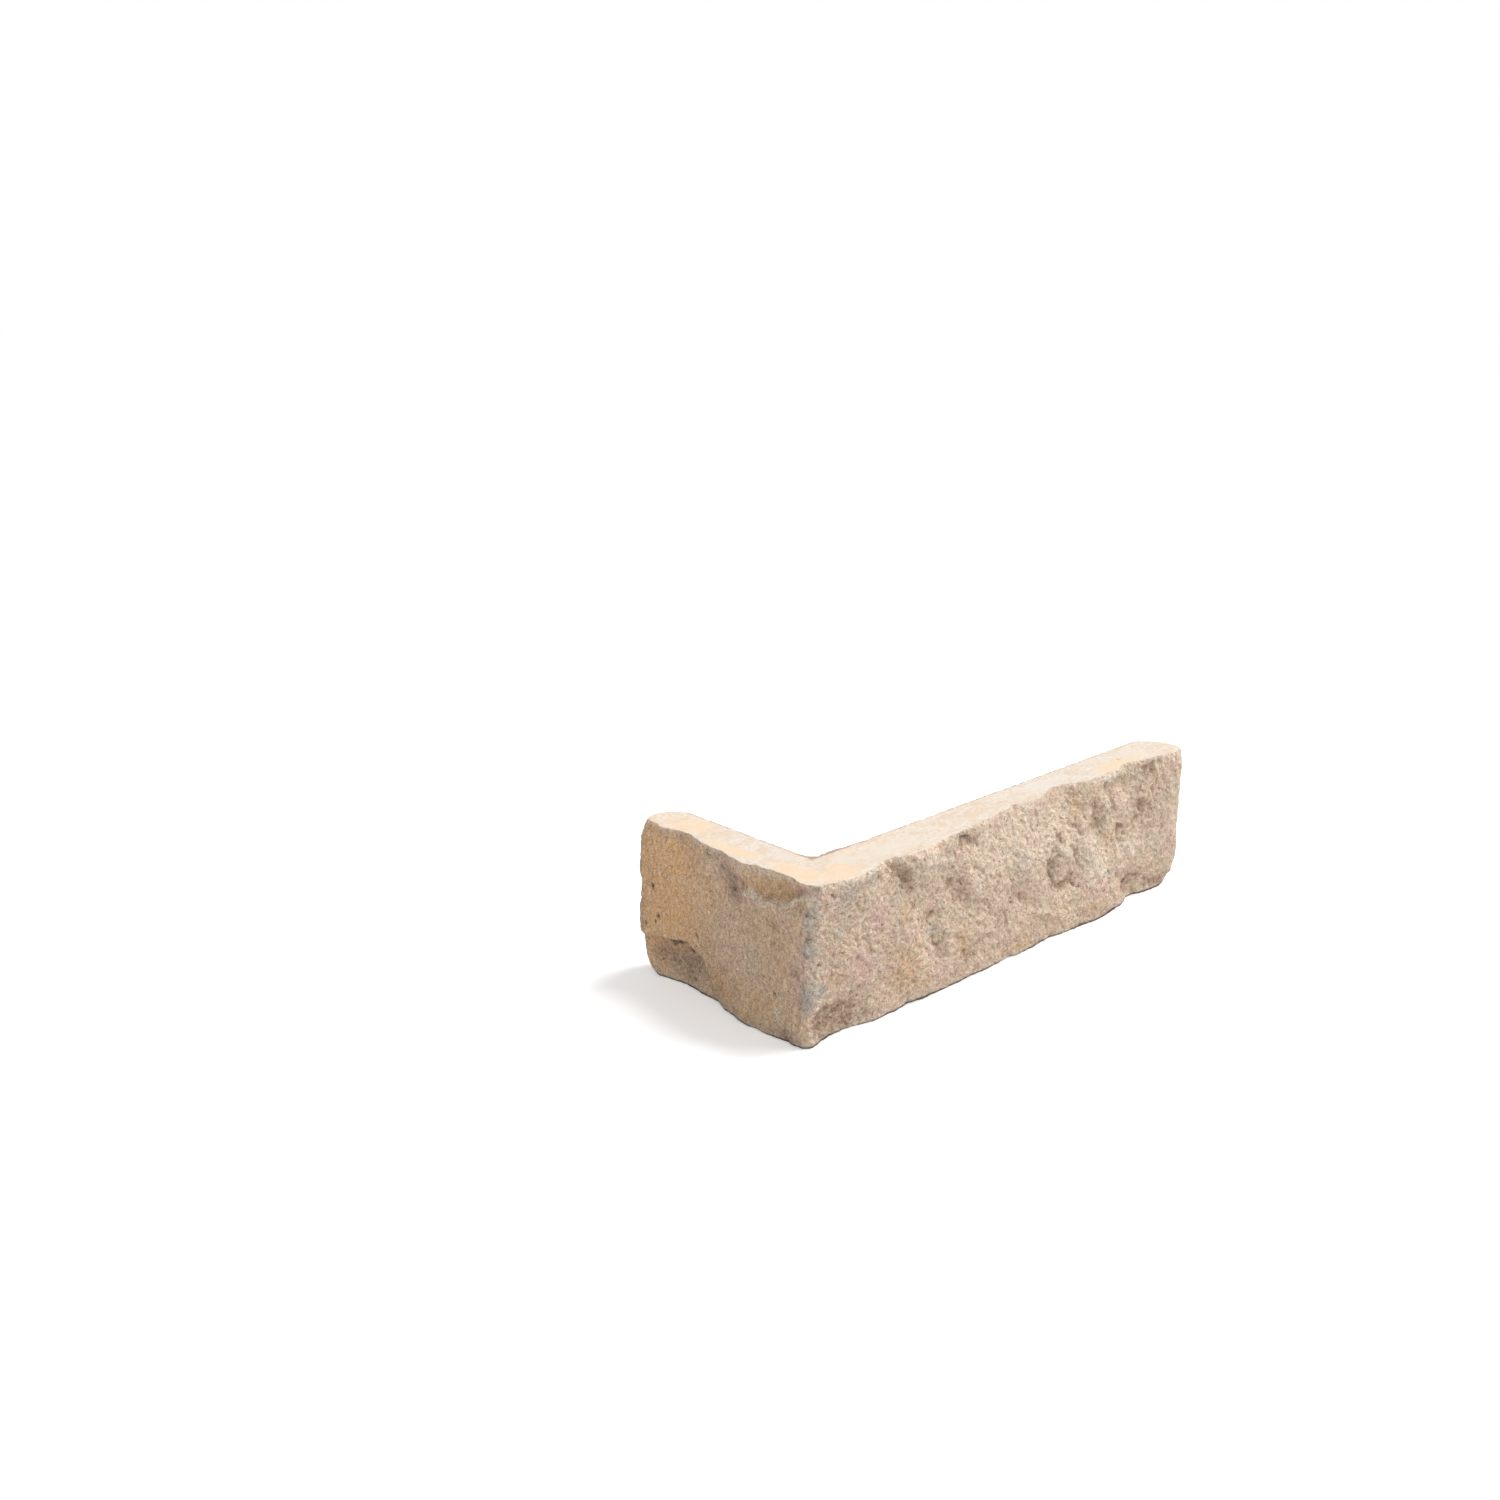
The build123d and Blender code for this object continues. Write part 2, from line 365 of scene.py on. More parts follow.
LONG_FACE = HewnFace(
    forms=(
        # The top rim, from the arris to the far end.
        Hump(-26, 92, 1.8, 1.6, -2.0),
        Hump(-16, 88, 1.6, 1.5, -1.8),
        Hump(8, 97, 13, 7, 0.8),
        Crease(((29, 93), (37, 87), (44, 80), (49, 72)), 1.5, 1.6),
        Hump(41, 96, 5, 3.5, 1.2),
        Hump(56, 83, 10, 9, 2.4),
        Hump(40, 82, 6, 12, 1.9, lean=-38),
        Hump(89, 61, 6.5, 12, 1.4, lean=-38),
        Hump(68, 44, 6, 10, 1.4, lean=-12),
        Hump(37, 78, 5, 4, 1.2, lean=-40),
        Break(((74, 96), (84, 94), (92, 93), (99, 89), (110, 84)), Side.BELOW, -1.6, 5, step=1.2),
        Hump(104, 97, 4, 3, -1.4),
        Hump(147, 94, 6, 3.5, -1.6),
        Hump(231, 97, 5, 4, -1.4),
        Break(((228, 90), (238, 88), (250, 86), (262, 85), (270, 83)), Side.BELOW, -1.2, 5, step=1.2),
        Hump(288, 87, 3, 3.5, -1.2, lean=-25),
        Hump(301, 95, 8, 4, 0.8),
        # The first third, fairly even.
        Hump(69, 43, 2.4, 4.0, -0.8, lean=-15),
        Hump(67, 51, 2.6, 2.2, -0.9),
        Hump(79, 25, 2.0, 4, -0.7, lean=-15),
        Crease(((36, 58), (39, 54), (41, 49)), 1.2, 1.2),
        Crease(((10, 56), (13, 50), (17, 45)), 1.3, 0.9),
        # The middle, with its slanting ridges.
        Crease(((83, 67), (89, 61), (94, 54), (98, 47)), 1.6, 1.5),
        Hump(104, 59, 8, 10, 1.8),
        Crease(((95, 18), (104, 20), (113, 22), (122, 21)), 1.6, 1.3),
        Crease(((112, 47), (117, 41), (120, 35)), 1.5, 1.4),
        Hump(138, 38, 2.2, 3.4, -1.6, lean=-30),
        Crease(((140, 46), (148, 38), (157, 31), (166, 25)), 1.8, 1.4),
        Crease(((142, 40), (151, 33), (162, 27), (172, 21), (190, 15)), 1.8, -1.2),
        # The pocket and the ribs of the far half.
        Hump(181, 46, 8.5, 11.0, 2.8, lean=-18),
        streaks(183, 45, 13, 13, 5.0, 3.0, stretch=2.4, lean=-48, seed=163.0),
        streaks(44, 82, 11, 12, 6.0, 2.4, stretch=1.6, lean=-40, seed=109.0),
        streaks(92, 60, 10, 14, 5.5, 2.2, stretch=1.6, lean=-40, seed=111.0),
        streaks(70, 42, 9, 13, 5.5, 2.0, stretch=1.6, lean=-30, seed=117.0),
        streaks(231, 72, 10, 14, 6.0, 2.4, stretch=1.6, lean=-30, seed=119.0),
        streaks(284, 68, 12, 12, 6.0, 2.2, stretch=1.6, lean=-40, seed=121.0),
        streaks(286, 89, 10, 7, 5.5, 2.2, stretch=1.4, lean=-30, seed=127.0),
        streaks(258, 54, 10, 9, 5.5, 2.0, stretch=1.6, lean=-40, seed=131.0),
        streaks(98, 88, 13, 6, 5.0, 2.0, stretch=1.2, lean=-20, seed=137.0),
        Hump(190, 33, 6.0, 2.0, -1.4),
        Crease(((191, 35), (197, 33), (203, 32), (208, 28)), 1.3, 2.2),
        streaks(186, 43, 11, 12, 3.4, 2.4, stretch=1.6, lean=-40, seed=101.0),
        Crease(((183, 65), (189, 58), (198, 51)), 1.5, -1.4),
        Crease(((186, 68), (190, 63), (196, 58)), 1.5, 1.4),
        Crease(((204, 53), (207, 48), (208, 43)), 1.3, 2.0),
        Crease(((201, 72), (206, 67), (212, 63)), 1.5, 2.0),
        Hump(222, 60, 2.2, 4.0, -0.9, lean=-35),
        Hump(232, 63, 1.8, 2.4, -0.8),
        Hump(227, 78, 6.0, 7.0, 1.8),
        Hump(222, 68, 3.0, 5.0, 0.9),
        Crease(((226, 82), (229, 74), (233, 64)), 1.2, 1.4),
        Hump(282, 66, 7.0, 8.0, 1.8, lean=-25),
        Hump(284, 89, 6.0, 6.0, 1.2, lean=-25),
        Crease(((233, 82), (236, 70), (238, 60)), 1.5, -1.2),
        Crease(((241, 76), (243, 66)), 1.4, -1.4),
        Hump(249, 69, 1.8, 3.4, -0.9),
        Crease(((246, 52), (248, 44), (250, 36)), 1.6, -1.6),
        Hump(255, 57, 3.6, 3.0, 1.4),
        Crease(((252, 58), (257, 53), (263, 48)), 1.1, 1.3),
        Hump(264, 63, 1.8, 2.0, -1.4),
        Hump(273, 55, 3.6, 2.2, -1.2, lean=-20),
        Hump(280, 69, 5.0, 4.0, 1.2),
        Crease(((272, 66), (279, 63), (287, 62)), 1.2, 1.1),
        Hump(290, 46, 3.0, 2.0, -1.2),
        Crease(((248, 24), (256, 22), (264, 21)), 1.7, 1.2),
        # The foot.
        Hump(212, -4, 42, 13, 0.8),
        Hump(268, -3, 15, 10, 2.8),
        Crease(((261, 9), (264, 13), (268, 15.5), (274, 16), (282, 14.5)), 1.3, 2.4),
        Hump(287, 12, 1.4, 1.4, -1.8),
        Hump(303, 7, 12, 4.5, -1.2),
        # The scoop beside the arris.
        Break(((-42, 25), (-29, 22), (-14, 23), (-4, 22), (4, 18), (14, 15)), Side.BELOW, -1.6, 12, step=1.2),
        Crease(((-10, 14), (-3, 15), (6, 18)), 1.1, 1.5),
        Crease(((-22, 17), (-12, 20), (-5, 24)), 1.3, 1.2),
        Crease(((-28, 11), (-16, 12), (-4, 9)), 1.3, 1.1),
        streaks(100, 72, 34, 22, 4.2, 0.9, stretch=3.0, lean=-45, seed=67.0),
        streaks(156, 72, 28, 24, 4.4, 1.1, stretch=3.6, lean=-56, seed=71.0),
        streaks(214, 70, 30, 20, 5.0, 1.4, stretch=3.4, lean=-30, seed=79.0),
        streaks(268, 62, 24, 24, 4.6, 0.9, stretch=2.6, lean=-38, seed=83.0),
        streaks(150, 97, 400, 5, 12.0, 2.0, stretch=1.4, seed=87.0),
        streaks(150, -1, 400, 5, 14.0, 1.5, stretch=1.4, seed=93.0, texture=Texture.ROLLING),
    ),
    unevenness=(
        Unevenness(Texture.ROLLING, 26.0, 1.0, stretch=1.6, lean=-40, seed=3.0),
        Unevenness(Texture.BROKEN, 12.0, 0.8, stretch=2.0, lean=-35, seed=11.0),
        Unevenness(Texture.BROKEN, 4.4, 0.6, stretch=2.0, lean=-40, seed=15.0),
        Unevenness(Texture.ROLLING, 5.0, 0.5, stretch=1.3, lean=-20, seed=19.0),
    ),
    stains={
        Tint.TAN: (Hump(255, 60, 55, 60, 0.24),),
        # Painted shade: dark in the pits, in the notch at the foot and under the brow.
        Tint.PIT_SHADE: (
            Hump(-33, 88, 2.2, 2.0, 1.2), Hump(-35, 80, 1.8, 2.4, 1.2), Hump(-32, 68, 2.0, 1.8, 1.2),
            Hump(-35, 64, 1.6, 2.0, 1.1), Hump(-33, 56, 1.8, 1.6, 1.2), Hump(-24, 92, 2.0, 1.6, 1.1),
            Hump(-15, 89, 1.8, 1.5, 1.0), Hump(264, 13, 5.0, 1.5, 1.0, lean=-35),
            Hump(286, 12, 1.8, 1.5, 1.0), Hump(98, 88, 5.0, 1.5, 0.8),
        ),
        Tint.GREY_BLUE: (
            Hump(12, 87, 9, 8, 0.52), Hump(-7, 84, 10, 9, 0.52), Hump(-28, 79, 8, 6, 0.7),
            Hump(-9, 64, 8, 11, 0.39), Hump(-33, 54, 7, 24, 0.8), Hump(-34, 31, 10, 7, 1.3),
            Hump(-23, 33, 8, 6, 1.2), Hump(67, 42, 4, 6, 0.72), Hump(38, 55, 4, 5, 0.45),
            Hump(22, 43, 6, 5, 0.26), Hump(150, 60, 12, 20, 0.39), Hump(172, 68, 7, 9, 0.39),
            Hump(200, 78, 5, 7, 0.39), Hump(214, 44, 12, 8, 0.39), Hump(240, 31, 14, 6, 0.39),
            Hump(268, 87, 7, 6, 0.39), Hump(288, 10, 8, 4, 0.39), Hump(58, 88, 10, 7, 0.26),
        ),
        # Brown stain, partly painted shade in the hollows, the creases, the scoop and under the brow.
        Tint.BROWN: (
            Hump(-16, 14, 22, 8, 1.5), Hump(-2, 8, 26, 4, 1.0), Hump(35, 87, 8, 5, 0.7, lean=-40),
            Hump(132, 32, 16, 14, 0.4), Hump(140, 11, 22, 8, 0.4), Hump(42, 79, 6, 9, 0.6, lean=-38),
            Hump(100, 88, 9, 4, 1.0), Hump(84, 94, 6, 2, 0.9), Hump(83, 66, 6, 5, 0.8),
            Hump(91, 55, 5, 7, 0.7), Hump(65, 51, 5, 4, 0.8), Hump(76, 27, 3.5, 7, 0.8),
            Hump(102, 16, 13, 4, 0.8), Hump(180, 46, 7, 13, 0.9, lean=-20), Hump(188, 35, 12, 3.5, 0.9),
            Hump(200, 35, 6, 3, 0.9), Hump(206, 48, 3, 6, 0.8), Hump(190, 65, 7, 5, 0.7),
            Hump(206, 69, 6, 4, 0.7), Hump(228, 65, 5, 5, 1.0), Hump(226, 77, 5, 6, 0.7),
            Hump(247, 72, 4, 6, 0.9), Hump(255, 54, 5, 6, 0.9), Hump(271, 57, 6, 4, 0.7),
            Hump(279, 66, 6, 6, 0.8), Hump(284, 89, 8, 7, 0.9), Hump(268, 12, 9, 5, 0.9),
            Hump(300, 6, 14, 5, 1.0), Hump(189, 92, 9, 6, 0.5),
        ),
        Tint.OCHRE: (
            Hump(45, 27, 14, 18, 0.7), Hump(62, 14, 14, 9, 0.5), Hump(95, 24, 8, 14, 0.6),
            Hump(45, 59, 8, 9, 0.5), Hump(64, 50, 7, 5, 0.5), Hump(72, 92, 8, 5, 0.6),
            Hump(100, 76, 12, 8, 0.4), Hump(-10, 37, 8, 8, 0.5), Hump(208, 80, 9, 9, 0.8),
            Hump(226, 84, 10, 8, 0.5), Hump(238, 52, 9, 8, 0.7), Hump(222, 14, 9, 9, 0.6),
            Hump(150, 6, 16, 4, 0.7), Hump(184, 7, 8, 4, 0.5), Hump(292, 80, 9, 8, 0.4),
        ),
        Tint.PINK: (
            Hump(8, 38, 16, 14, 0.9), Hump(24, 63, 14, 10, 0.8), Hump(-20, 88, 12, 5, 0.7),
            Hump(-22, 62, 7, 8, 0.5), Hump(75, 14, 9, 7, 0.9), Hump(32, 30, 8, 10, 0.4),
            Hump(101, 61, 9, 8, 1.0), Hump(92, 78, 9, 6, 0.7), Hump(126, 72, 8, 5, 0.7),
            Hump(122, 91, 8, 6, 0.5), Hump(130, 46, 12, 14, 0.5), Hump(148, 40, 9, 10, 0.7),
            Hump(173, 62, 8, 5, 0.5), Hump(210, 30, 14, 7, 0.8), Hump(221, 55, 8, 6, 0.8),
            Hump(228, 20, 14, 9, 0.8), Hump(250, 78, 9, 9, 0.6), Hump(298, 76, 11, 8, 0.5),
            Hump(308, 31, 9, 8, 0.9), Hump(262, 32, 14, 9, 0.5), Hump(-25, 9, 10, 4, 0.6),
        ),
        # Pale cream patches, partly a painted highlight on the lips, the brow and the ridges.
        Tint.CREAM: (
            Hump(170, 74, 105, 26, 0.42), Hump(246, 91, 14, 2.6, 1.1, lean=-4),
            Hump(66, 85, 11, 9, 0.6), Hump(82, 80, 10, 6, 0.5), Hump(104, 58, 7, 8, 0.5),
            Hump(222, 50, 16, 12, 0.6), Hump(226, 36, 18, 10, 0.6), Hump(276, 37, 36, 10, 0.55),
            Hump(195, 60, 8, 9, 0.5), Hump(190, 58, 9, 1.8, 0.9, lean=50), Hump(217, 50, 6, 4, 0.7),
            Hump(150, 78, 16, 14, 0.5), Hump(112, 86, 13, 9, 0.5), Hump(162, 92, 14, 5, 0.4),
            Hump(237, 66, 4, 11, 0.6), Hump(248, 44, 4, 8, 0.6), Hump(22, 42, 5, 3, 0.6),
            Hump(160, 84, 10, 5, 0.4),
        ),
    },
)

SHORT_FACE = HewnFace(
    forms=(
        Break(
            ((-28, 88), (-21, 87), (-14, 84), (-7, 79), (1, 76), (11, 76), (23, 77), (31, 81)),
            Side.ABOVE,
            -1.8,
            7,
            step=2.0,
        ),
        Crease(((24, 77), (16, 76), (1, 76), (-7, 79), (-22, 87)), 2.2, -1.4),
        Hump(10, 98, 27, 4.2, 4.2),
        Hump(-22, 98, 9, 5.0, 2.2),
        Hump(107, 99, 9, 8, -3.0),
        Break(((44, 66), (47, 63), (56, 67), (64, 72), (72, 76)), Side.ABOVE, -1.0, 9, step=2.0),
        Hump(5, 63, 6, 2.6, -1.4, lean=-20),
        Break(
            ((50, 6), (55, 15), (59, 22), (64, 25), (72, 28), (85, 28), (93, 26), (112, 26)),
            Side.BELOW,
            -2.4,
            14,
            step=1.0,
        ),
        Hump(-19, 79, 1.6, 1.6, -2.2),
        Hump(-20, 68, 1.5, 1.8, -2.4),
        Hump(-19, 56, 1.5, 1.5, -2.2),
        Hump(-16, 42, 1.4, 2.6, -1.6),
        Hump(72, 24, 1.8, 1.5, -2.6),
        Hump(86, 25, 1.4, 1.2, -1.8),
        Hump(100, 57, 1.3, 1.3, -1.8),
        Hump(96, 41, 1.5, 1.3, -1.9),
        Hump(66, 36, 1.3, 1.2, -1.5),
        Hump(28, 52, 2.6, 1.6, -1.4),
        Hump(43, 84, 1.4, 1.2, -1.5),
        Hump(-10, 3, 3.0, 2.2, -1.6),
        Hump(108, 16, 12, 13, 0.8),
        streaks(40, 78, 15, 16, 4.0, 1.6, stretch=1.4, seed=73.0),
        streaks(50, 97, 400, 5, 12.0, 1.8, stretch=1.4, seed=89.0),
        streaks(50, -1, 400, 5, 14.0, 1.5, stretch=1.4, seed=95.0, texture=Texture.ROLLING),
    ),
    unevenness=(
        Unevenness(Texture.ROLLING, 24.0, 0.9, seed=5.0),
        Unevenness(Texture.ROLLING, 9.0, 0.7, seed=23.0),
        Unevenness(Texture.BROKEN, 4.0, 0.45, seed=27.0),
    ),
    stains={
        Tint.TAN: (
            Hump(60, 50, 400, 400, 0.37), Hump(96, 60, 50, 62, 0.95), Hump(44, 15, 26, 14, 0.7),
        ),
        # Painted shade: dark in the pits and along the upper edge of the chip at the foot.
        Tint.PIT_SHADE: (
            Crease(((86, 27), (78, 28), (68, 27), (62, 24)), 1.2, -0.9),
            Hump(-26, 66, 1.8, 2.4, 1.2), Hump(-25, 55, 1.6, 1.8, 1.1), Hump(-24, 79, 1.6, 1.8, 1.0),
            Hump(72, 24, 2.6, 1.8, 1.2), Hump(86, 25, 1.8, 1.4, 0.9), Hump(100, 57, 1.6, 1.5, 0.9),
            Hump(96, 41, 1.7, 1.5, 0.9), Hump(66, 36, 1.5, 1.4, 0.8), Hump(28, 52, 2.4, 1.6, 0.7),
            Hump(43, 84, 1.6, 1.4, 0.8), Hump(36, 74, 1.5, 1.3, 0.8),
        ),
        Tint.GREY_BLUE: (
            Hump(-27, 60, 6, 34, 0.8), Hump(-24, 28, 6, 10, 1.1),
        ),
        # Brown stain, partly painted shade under the lip, in the chip at the foot and towards the free end.
        Tint.BROWN: (
            Hump(78, 16, 24, 10, 1.0), Hump(36, 77, 11, 13, 0.7), Hump(80, 91, 24, 5, 0.4),
            Hump(6, 60, 26, 30, 0.32), Hump(46, 10, 22, 8, 0.45), Hump(122, 56, 20, 80, 0.62),
            Hump(72, 24, 4, 3, 1.2), Hump(84, 27, 9, 2, 0.9), Hump(49, 91, 10, 5, 0.6),
            Hump(38, 70, 8, 5, 0.6), Hump(4, 63, 6, 4, 0.6), Hump(3, 79, 8, 2.4, 0.5),
            Hump(40, 26, 9, 6, 0.5), Hump(-13, 42, 5, 6, 0.6), Hump(-12, 4, 14, 5, 0.9),
            Hump(22, 2, 40, 4, 0.5),
        ),
        Tint.OCHRE: (
            Crease(((24, 82), (8, 83), (-6, 86), (-18, 91)), 5.0, -1.3),
            Hump(10, 14, 22, 12, 0.7), Hump(22, 5, 10, 6, 0.8), Hump(54, 30, 6, 6, 0.8),
            Hump(30, 20, 10, 8, 0.5),
        ),
        Tint.PINK: (
            Hump(36, 80, 11, 14, 1.1), Hump(25, 72, 9, 4, 0.9), Hump(-17, 42, 7, 22, 0.8),
            Hump(-16, 90, 8, 5, 0.9), Hump(34, 19, 4, 5, 0.7), Hump(-10, 73, 6, 5, 0.6),
            Hump(38, 38, 14, 8, 0.5),
        ),
        # Partly a painted highlight along the lip of the scar.
        Tint.CREAM: (
            Crease(((23, 77.5), (16, 76.5), (1, 76.5), (-7, 79), (-22, 87)), 1.3, -0.9),
            Hump(20, 79, 4, 2.0, 0.8), Hump(80, 67, 18, 3.0, 0.5), Hump(-4, 14, 8, 5, 0.5),
        ),
    },
    stain_wander=1.0,
)


# Shader node groups

# A noise's value runs from about 0.3 to 0.7 around this middle.
MIDDLE = 0.5
# Where a drifting patch starts and is full, in its noise's value.
CLOUD_EDGE = (0.42, 0.66)
# Where a stain starts and is full, in its mask with the noise, and in its mask alone.
STAIN_EDGE = (0.18, 0.8)
STAIN_REACH = (0.02, 0.3)
# Where an oval patch starts and is full, in shares of its reach.
SPOT_EDGE = (1.0, 0.2)
# The dark line along the top's inner rim, painted shade with some dirt:
# its ragged bits to the metre, and how far they change its width.
RIM_LINE_SCALE = 240.0
RIM_LINE_SWING = 2.4
RIM_LINE_LEAST = -0.6
# The sand grain: how wide, high and pale its crests are, and how fine, high and dark what lies between is.
# The pale of the crests is a painted highlight, and the dark between them is painted shade.
CREST_EDGE = (0.085, 0.0)
CREST_RISE = 0.3
CREST_PALE = 0.6
FINE_SCALE = 2.2
FINE_RISE = 0.5
FINE_EDGE = (0.52, 0.34)
# The air holes: how fine and how far their rims are ragged, their sizes, and how much of each is full depth.
RIM_SCALE = 5.0
RIM_PUSH = 0.35
SIZE_SWING = 0.8
SIZE_LEAST = 0.4
HOLE_FLOOR = 0.5


def feed(tree: Tree, node: bpy.types.Node, feeds: dict) -> bpy.types.Node:
    """Feeds a node's inputs.

    Args:
        tree: the tree that the node is in.
        node: the node.
        feeds: a value or an output socket for each input, by its name or number.

    Returns:
        The same node.
    """
    for name, value in feeds.items():
        if isinstance(value, Socket):
            tree.links.new(value, node.inputs[name])
        else:
            node.inputs[name].default_value = value
    return node


def place(tree: Tree, kind: str, feeds: Optional[dict] = None, **settings: str) -> bpy.types.Node:
    """Adds a node and feeds its inputs.

    Args:
        tree: the tree that gets the node.
        kind: the node's type name.
        feeds: a value or an output socket for each input, by its name or number.
        settings: the node's own settings.

    Returns:
        The new node.
    """
    node = tree.nodes.new(kind)
    for name, value in settings.items():
        setattr(node, name, value)
    return feed(tree, node, feeds or {})


def reckon(tree: Tree, operation: str, *values: Feed) -> Socket:
    """The output of a maths node that takes the given values or sockets."""
    return place(tree, "ShaderNodeMath", dict(enumerate(values)), operation=operation).outputs[0]


def times(tree: Tree, first: Feed, second: Feed) -> Socket:
    """The product of two values or sockets."""
    return reckon(tree, "MULTIPLY", first, second)


def reckon_vector(tree: Tree, operation: str, first: Feed, second: Feed) -> Socket:
    """The output of a vector maths node that takes two vectors."""
    return place(tree, "ShaderNodeVectorMath", {0: first, 1: second}, operation=operation).outputs[0]


def blended(tree: Tree, share: Feed, first: Feed, second: Feed) -> Socket:
    """The output of a colour mix of two colours or sockets."""
    return place(tree, "ShaderNodeMix", {0: share, 6: first, 7: second}, data_type="RGBA").outputs[2]


def spread(tree: Tree, value: Feed, low: Feed, high: Feed) -> Socket:
    """A value stretched so that low gives 0 and high gives 1, held between them."""
    return place(tree, "ShaderNodeMapRange", {0: value, 1: low, 2: high, 3: 0.0, 4: 1.0}).outputs[0]


def here(tree: Tree) -> Socket:
    """The place in the stone's own frame."""
    return place(tree, "ShaderNodeTexCoord").outputs["Object"]


def kept(tree: Tree, name: str) -> Socket:
    """A value that the mesh keeps for each point, by its name."""
    return place(tree, "ShaderNodeAttribute", attribute_name=name).outputs["Fac"]


def speckled(
    tree: Tree, where: Socket, scale: Feed, detail: float, roughness: float = 0.5, distortion: float = 0.0
) -> Outputs:
    """A noise over the surface.

    Args:
        tree: the tree that gets the node.
        where: the places.
        scale: its bumps to the metre.
        detail: how many finer sizes it adds.
        roughness: how strong these are.
        distortion: how far it is stirred.

    Returns:
        The node's outputs: the value and the colour.
    """
    feeds = {"Vector": where, "Scale": scale, "Detail": detail}
    feeds |= {"Roughness": roughness, "Distortion": distortion}
    return place(tree, "ShaderNodeTexNoise", feeds).outputs


class Kind(Enum):
    """The socket types that the groups use."""

    NUMBER = "NodeSocketFloat"
    COLOUR = "NodeSocketColor"
    VECTOR = "NodeSocketVector"

    def named(self, *names: str) -> dict[str, "Kind"]:
        """One socket of this kind for each name."""
        return dict.fromkeys(names, self)


@dataclass
class Effect:
    """A shader effect kept as one node group, built the first time that a material asks for it.

    wire gets the group's tree and its inputs, and gives back a socket for each output by its name.
    """

    name: str
    takes: dict[str, Kind]
    gives: dict[str, Kind]
    wire: Callable[[Tree, Outputs], Wires]

    def group(self) -> Tree:
        """The node group, made once.

        Returns:
            The group's tree.
        """
        made = bpy.data.node_groups.get(self.name)
        if made:
            return made
        tree = bpy.data.node_groups.new(self.name, "ShaderNodeTree")
        for name, kind in self.takes.items():
            tree.interface.new_socket(name=name, in_out="INPUT", socket_type=kind.value)
        for name, kind in self.gives.items():
            tree.interface.new_socket(name=name, in_out="OUTPUT", socket_type=kind.value)
        entry = tree.nodes.new("NodeGroupInput")
        feed(tree, tree.nodes.new("NodeGroupOutput"), self.wire(tree, entry.outputs))
        return tree

    def put(self, tree: Tree, feeds: dict) -> Outputs:
        """Places the effect in a material.

        Args:
            tree: the material's tree.
            feeds: a value or an output socket for each input, by its name.

        Returns:
            The effect's outputs.
        """
        node = tree.nodes.new("ShaderNodeGroup")
        node.node_tree = self.group()
        return feed(tree, node, feeds).outputs


def wire_clouds(tree: Tree, given: Outputs) -> Wires:
    """Soft patches of a second colour that drift through the first, drawn out where a stretch is below 1.

    Args:
        tree: the group's tree.
        given: the group's inputs.

    Returns:
        The clouded colour.
    """
    drawn = reckon_vector(tree, "MULTIPLY", here(tree), given["Stretch"])
    shifted = reckon_vector(tree, "ADD", drawn, given["Shift"])
    cloud = speckled(tree, shifted, given["Scale"], detail=4.0, distortion=0.4)[0]
    share = times(tree, spread(tree, cloud, *CLOUD_EDGE), given["Amount"])
    return {"Color": blended(tree, share, given["Color"], given["Patch"])}


CLOUDS = Effect(
    "drifting patches",
    Kind.COLOUR.named("Color", "Patch")
    | Kind.NUMBER.named("Scale", "Amount")
    | Kind.VECTOR.named("Shift", "Stretch"),
    Kind.COLOUR.named("Color"),
    wire_clouds,
)


def wire_stain(tree: Tree, given: Outputs) -> Wires:
    """A stain that a mask places, with its edge broken up by noise.

    Args:
        tree: the group's tree.
        given: the group's inputs.

    Returns:
        The stained colour.
    """
    ragged = speckled(tree, here(tree), given["Scale"], detail=5.0, roughness=0.65)[0]
    swing = times(tree, reckon(tree, "SUBTRACT", ragged, MIDDLE), given["Ragged"])
    broken = spread(tree, reckon(tree, "ADD", given["Mask"], swing), *STAIN_EDGE)
    share = times(tree, broken, spread(tree, given["Mask"], *STAIN_REACH))
    share = times(tree, share, given["Amount"])
    return {"Color": blended(tree, share, given["Color"], given["Stain"])}


STAIN = Effect(
    "broken stain",
    Kind.COLOUR.named("Color", "Stain") | Kind.NUMBER.named("Mask", "Scale", "Ragged", "Amount"),
    Kind.COLOUR.named("Color"),
    wire_stain,
)


def wire_spot(tree: Tree, given: Outputs) -> Wires:
    """An oval patch around a centre: full in the middle and gone at its reach.

    Args:
        tree: the group's tree.
        given: the group's inputs.

    Returns:
        The mask given, with the patch added.
    """
    off = reckon_vector(tree, "SUBTRACT", here(tree), given["Center"])
    share = reckon_vector(tree, "DIVIDE", off, given["Reach"])
    gap = place(tree, "ShaderNodeVectorMath", {0: share}, operation="LENGTH").outputs["Value"]
    return {"Mask": reckon(tree, "MAXIMUM", given["Mask"], spread(tree, gap, *SPOT_EDGE))}


SPOT = Effect(
    "oval patch",
    Kind.NUMBER.named("Mask") | Kind.VECTOR.named("Center", "Reach"),
    Kind.NUMBER.named("Mask"),
    wire_spot,
)


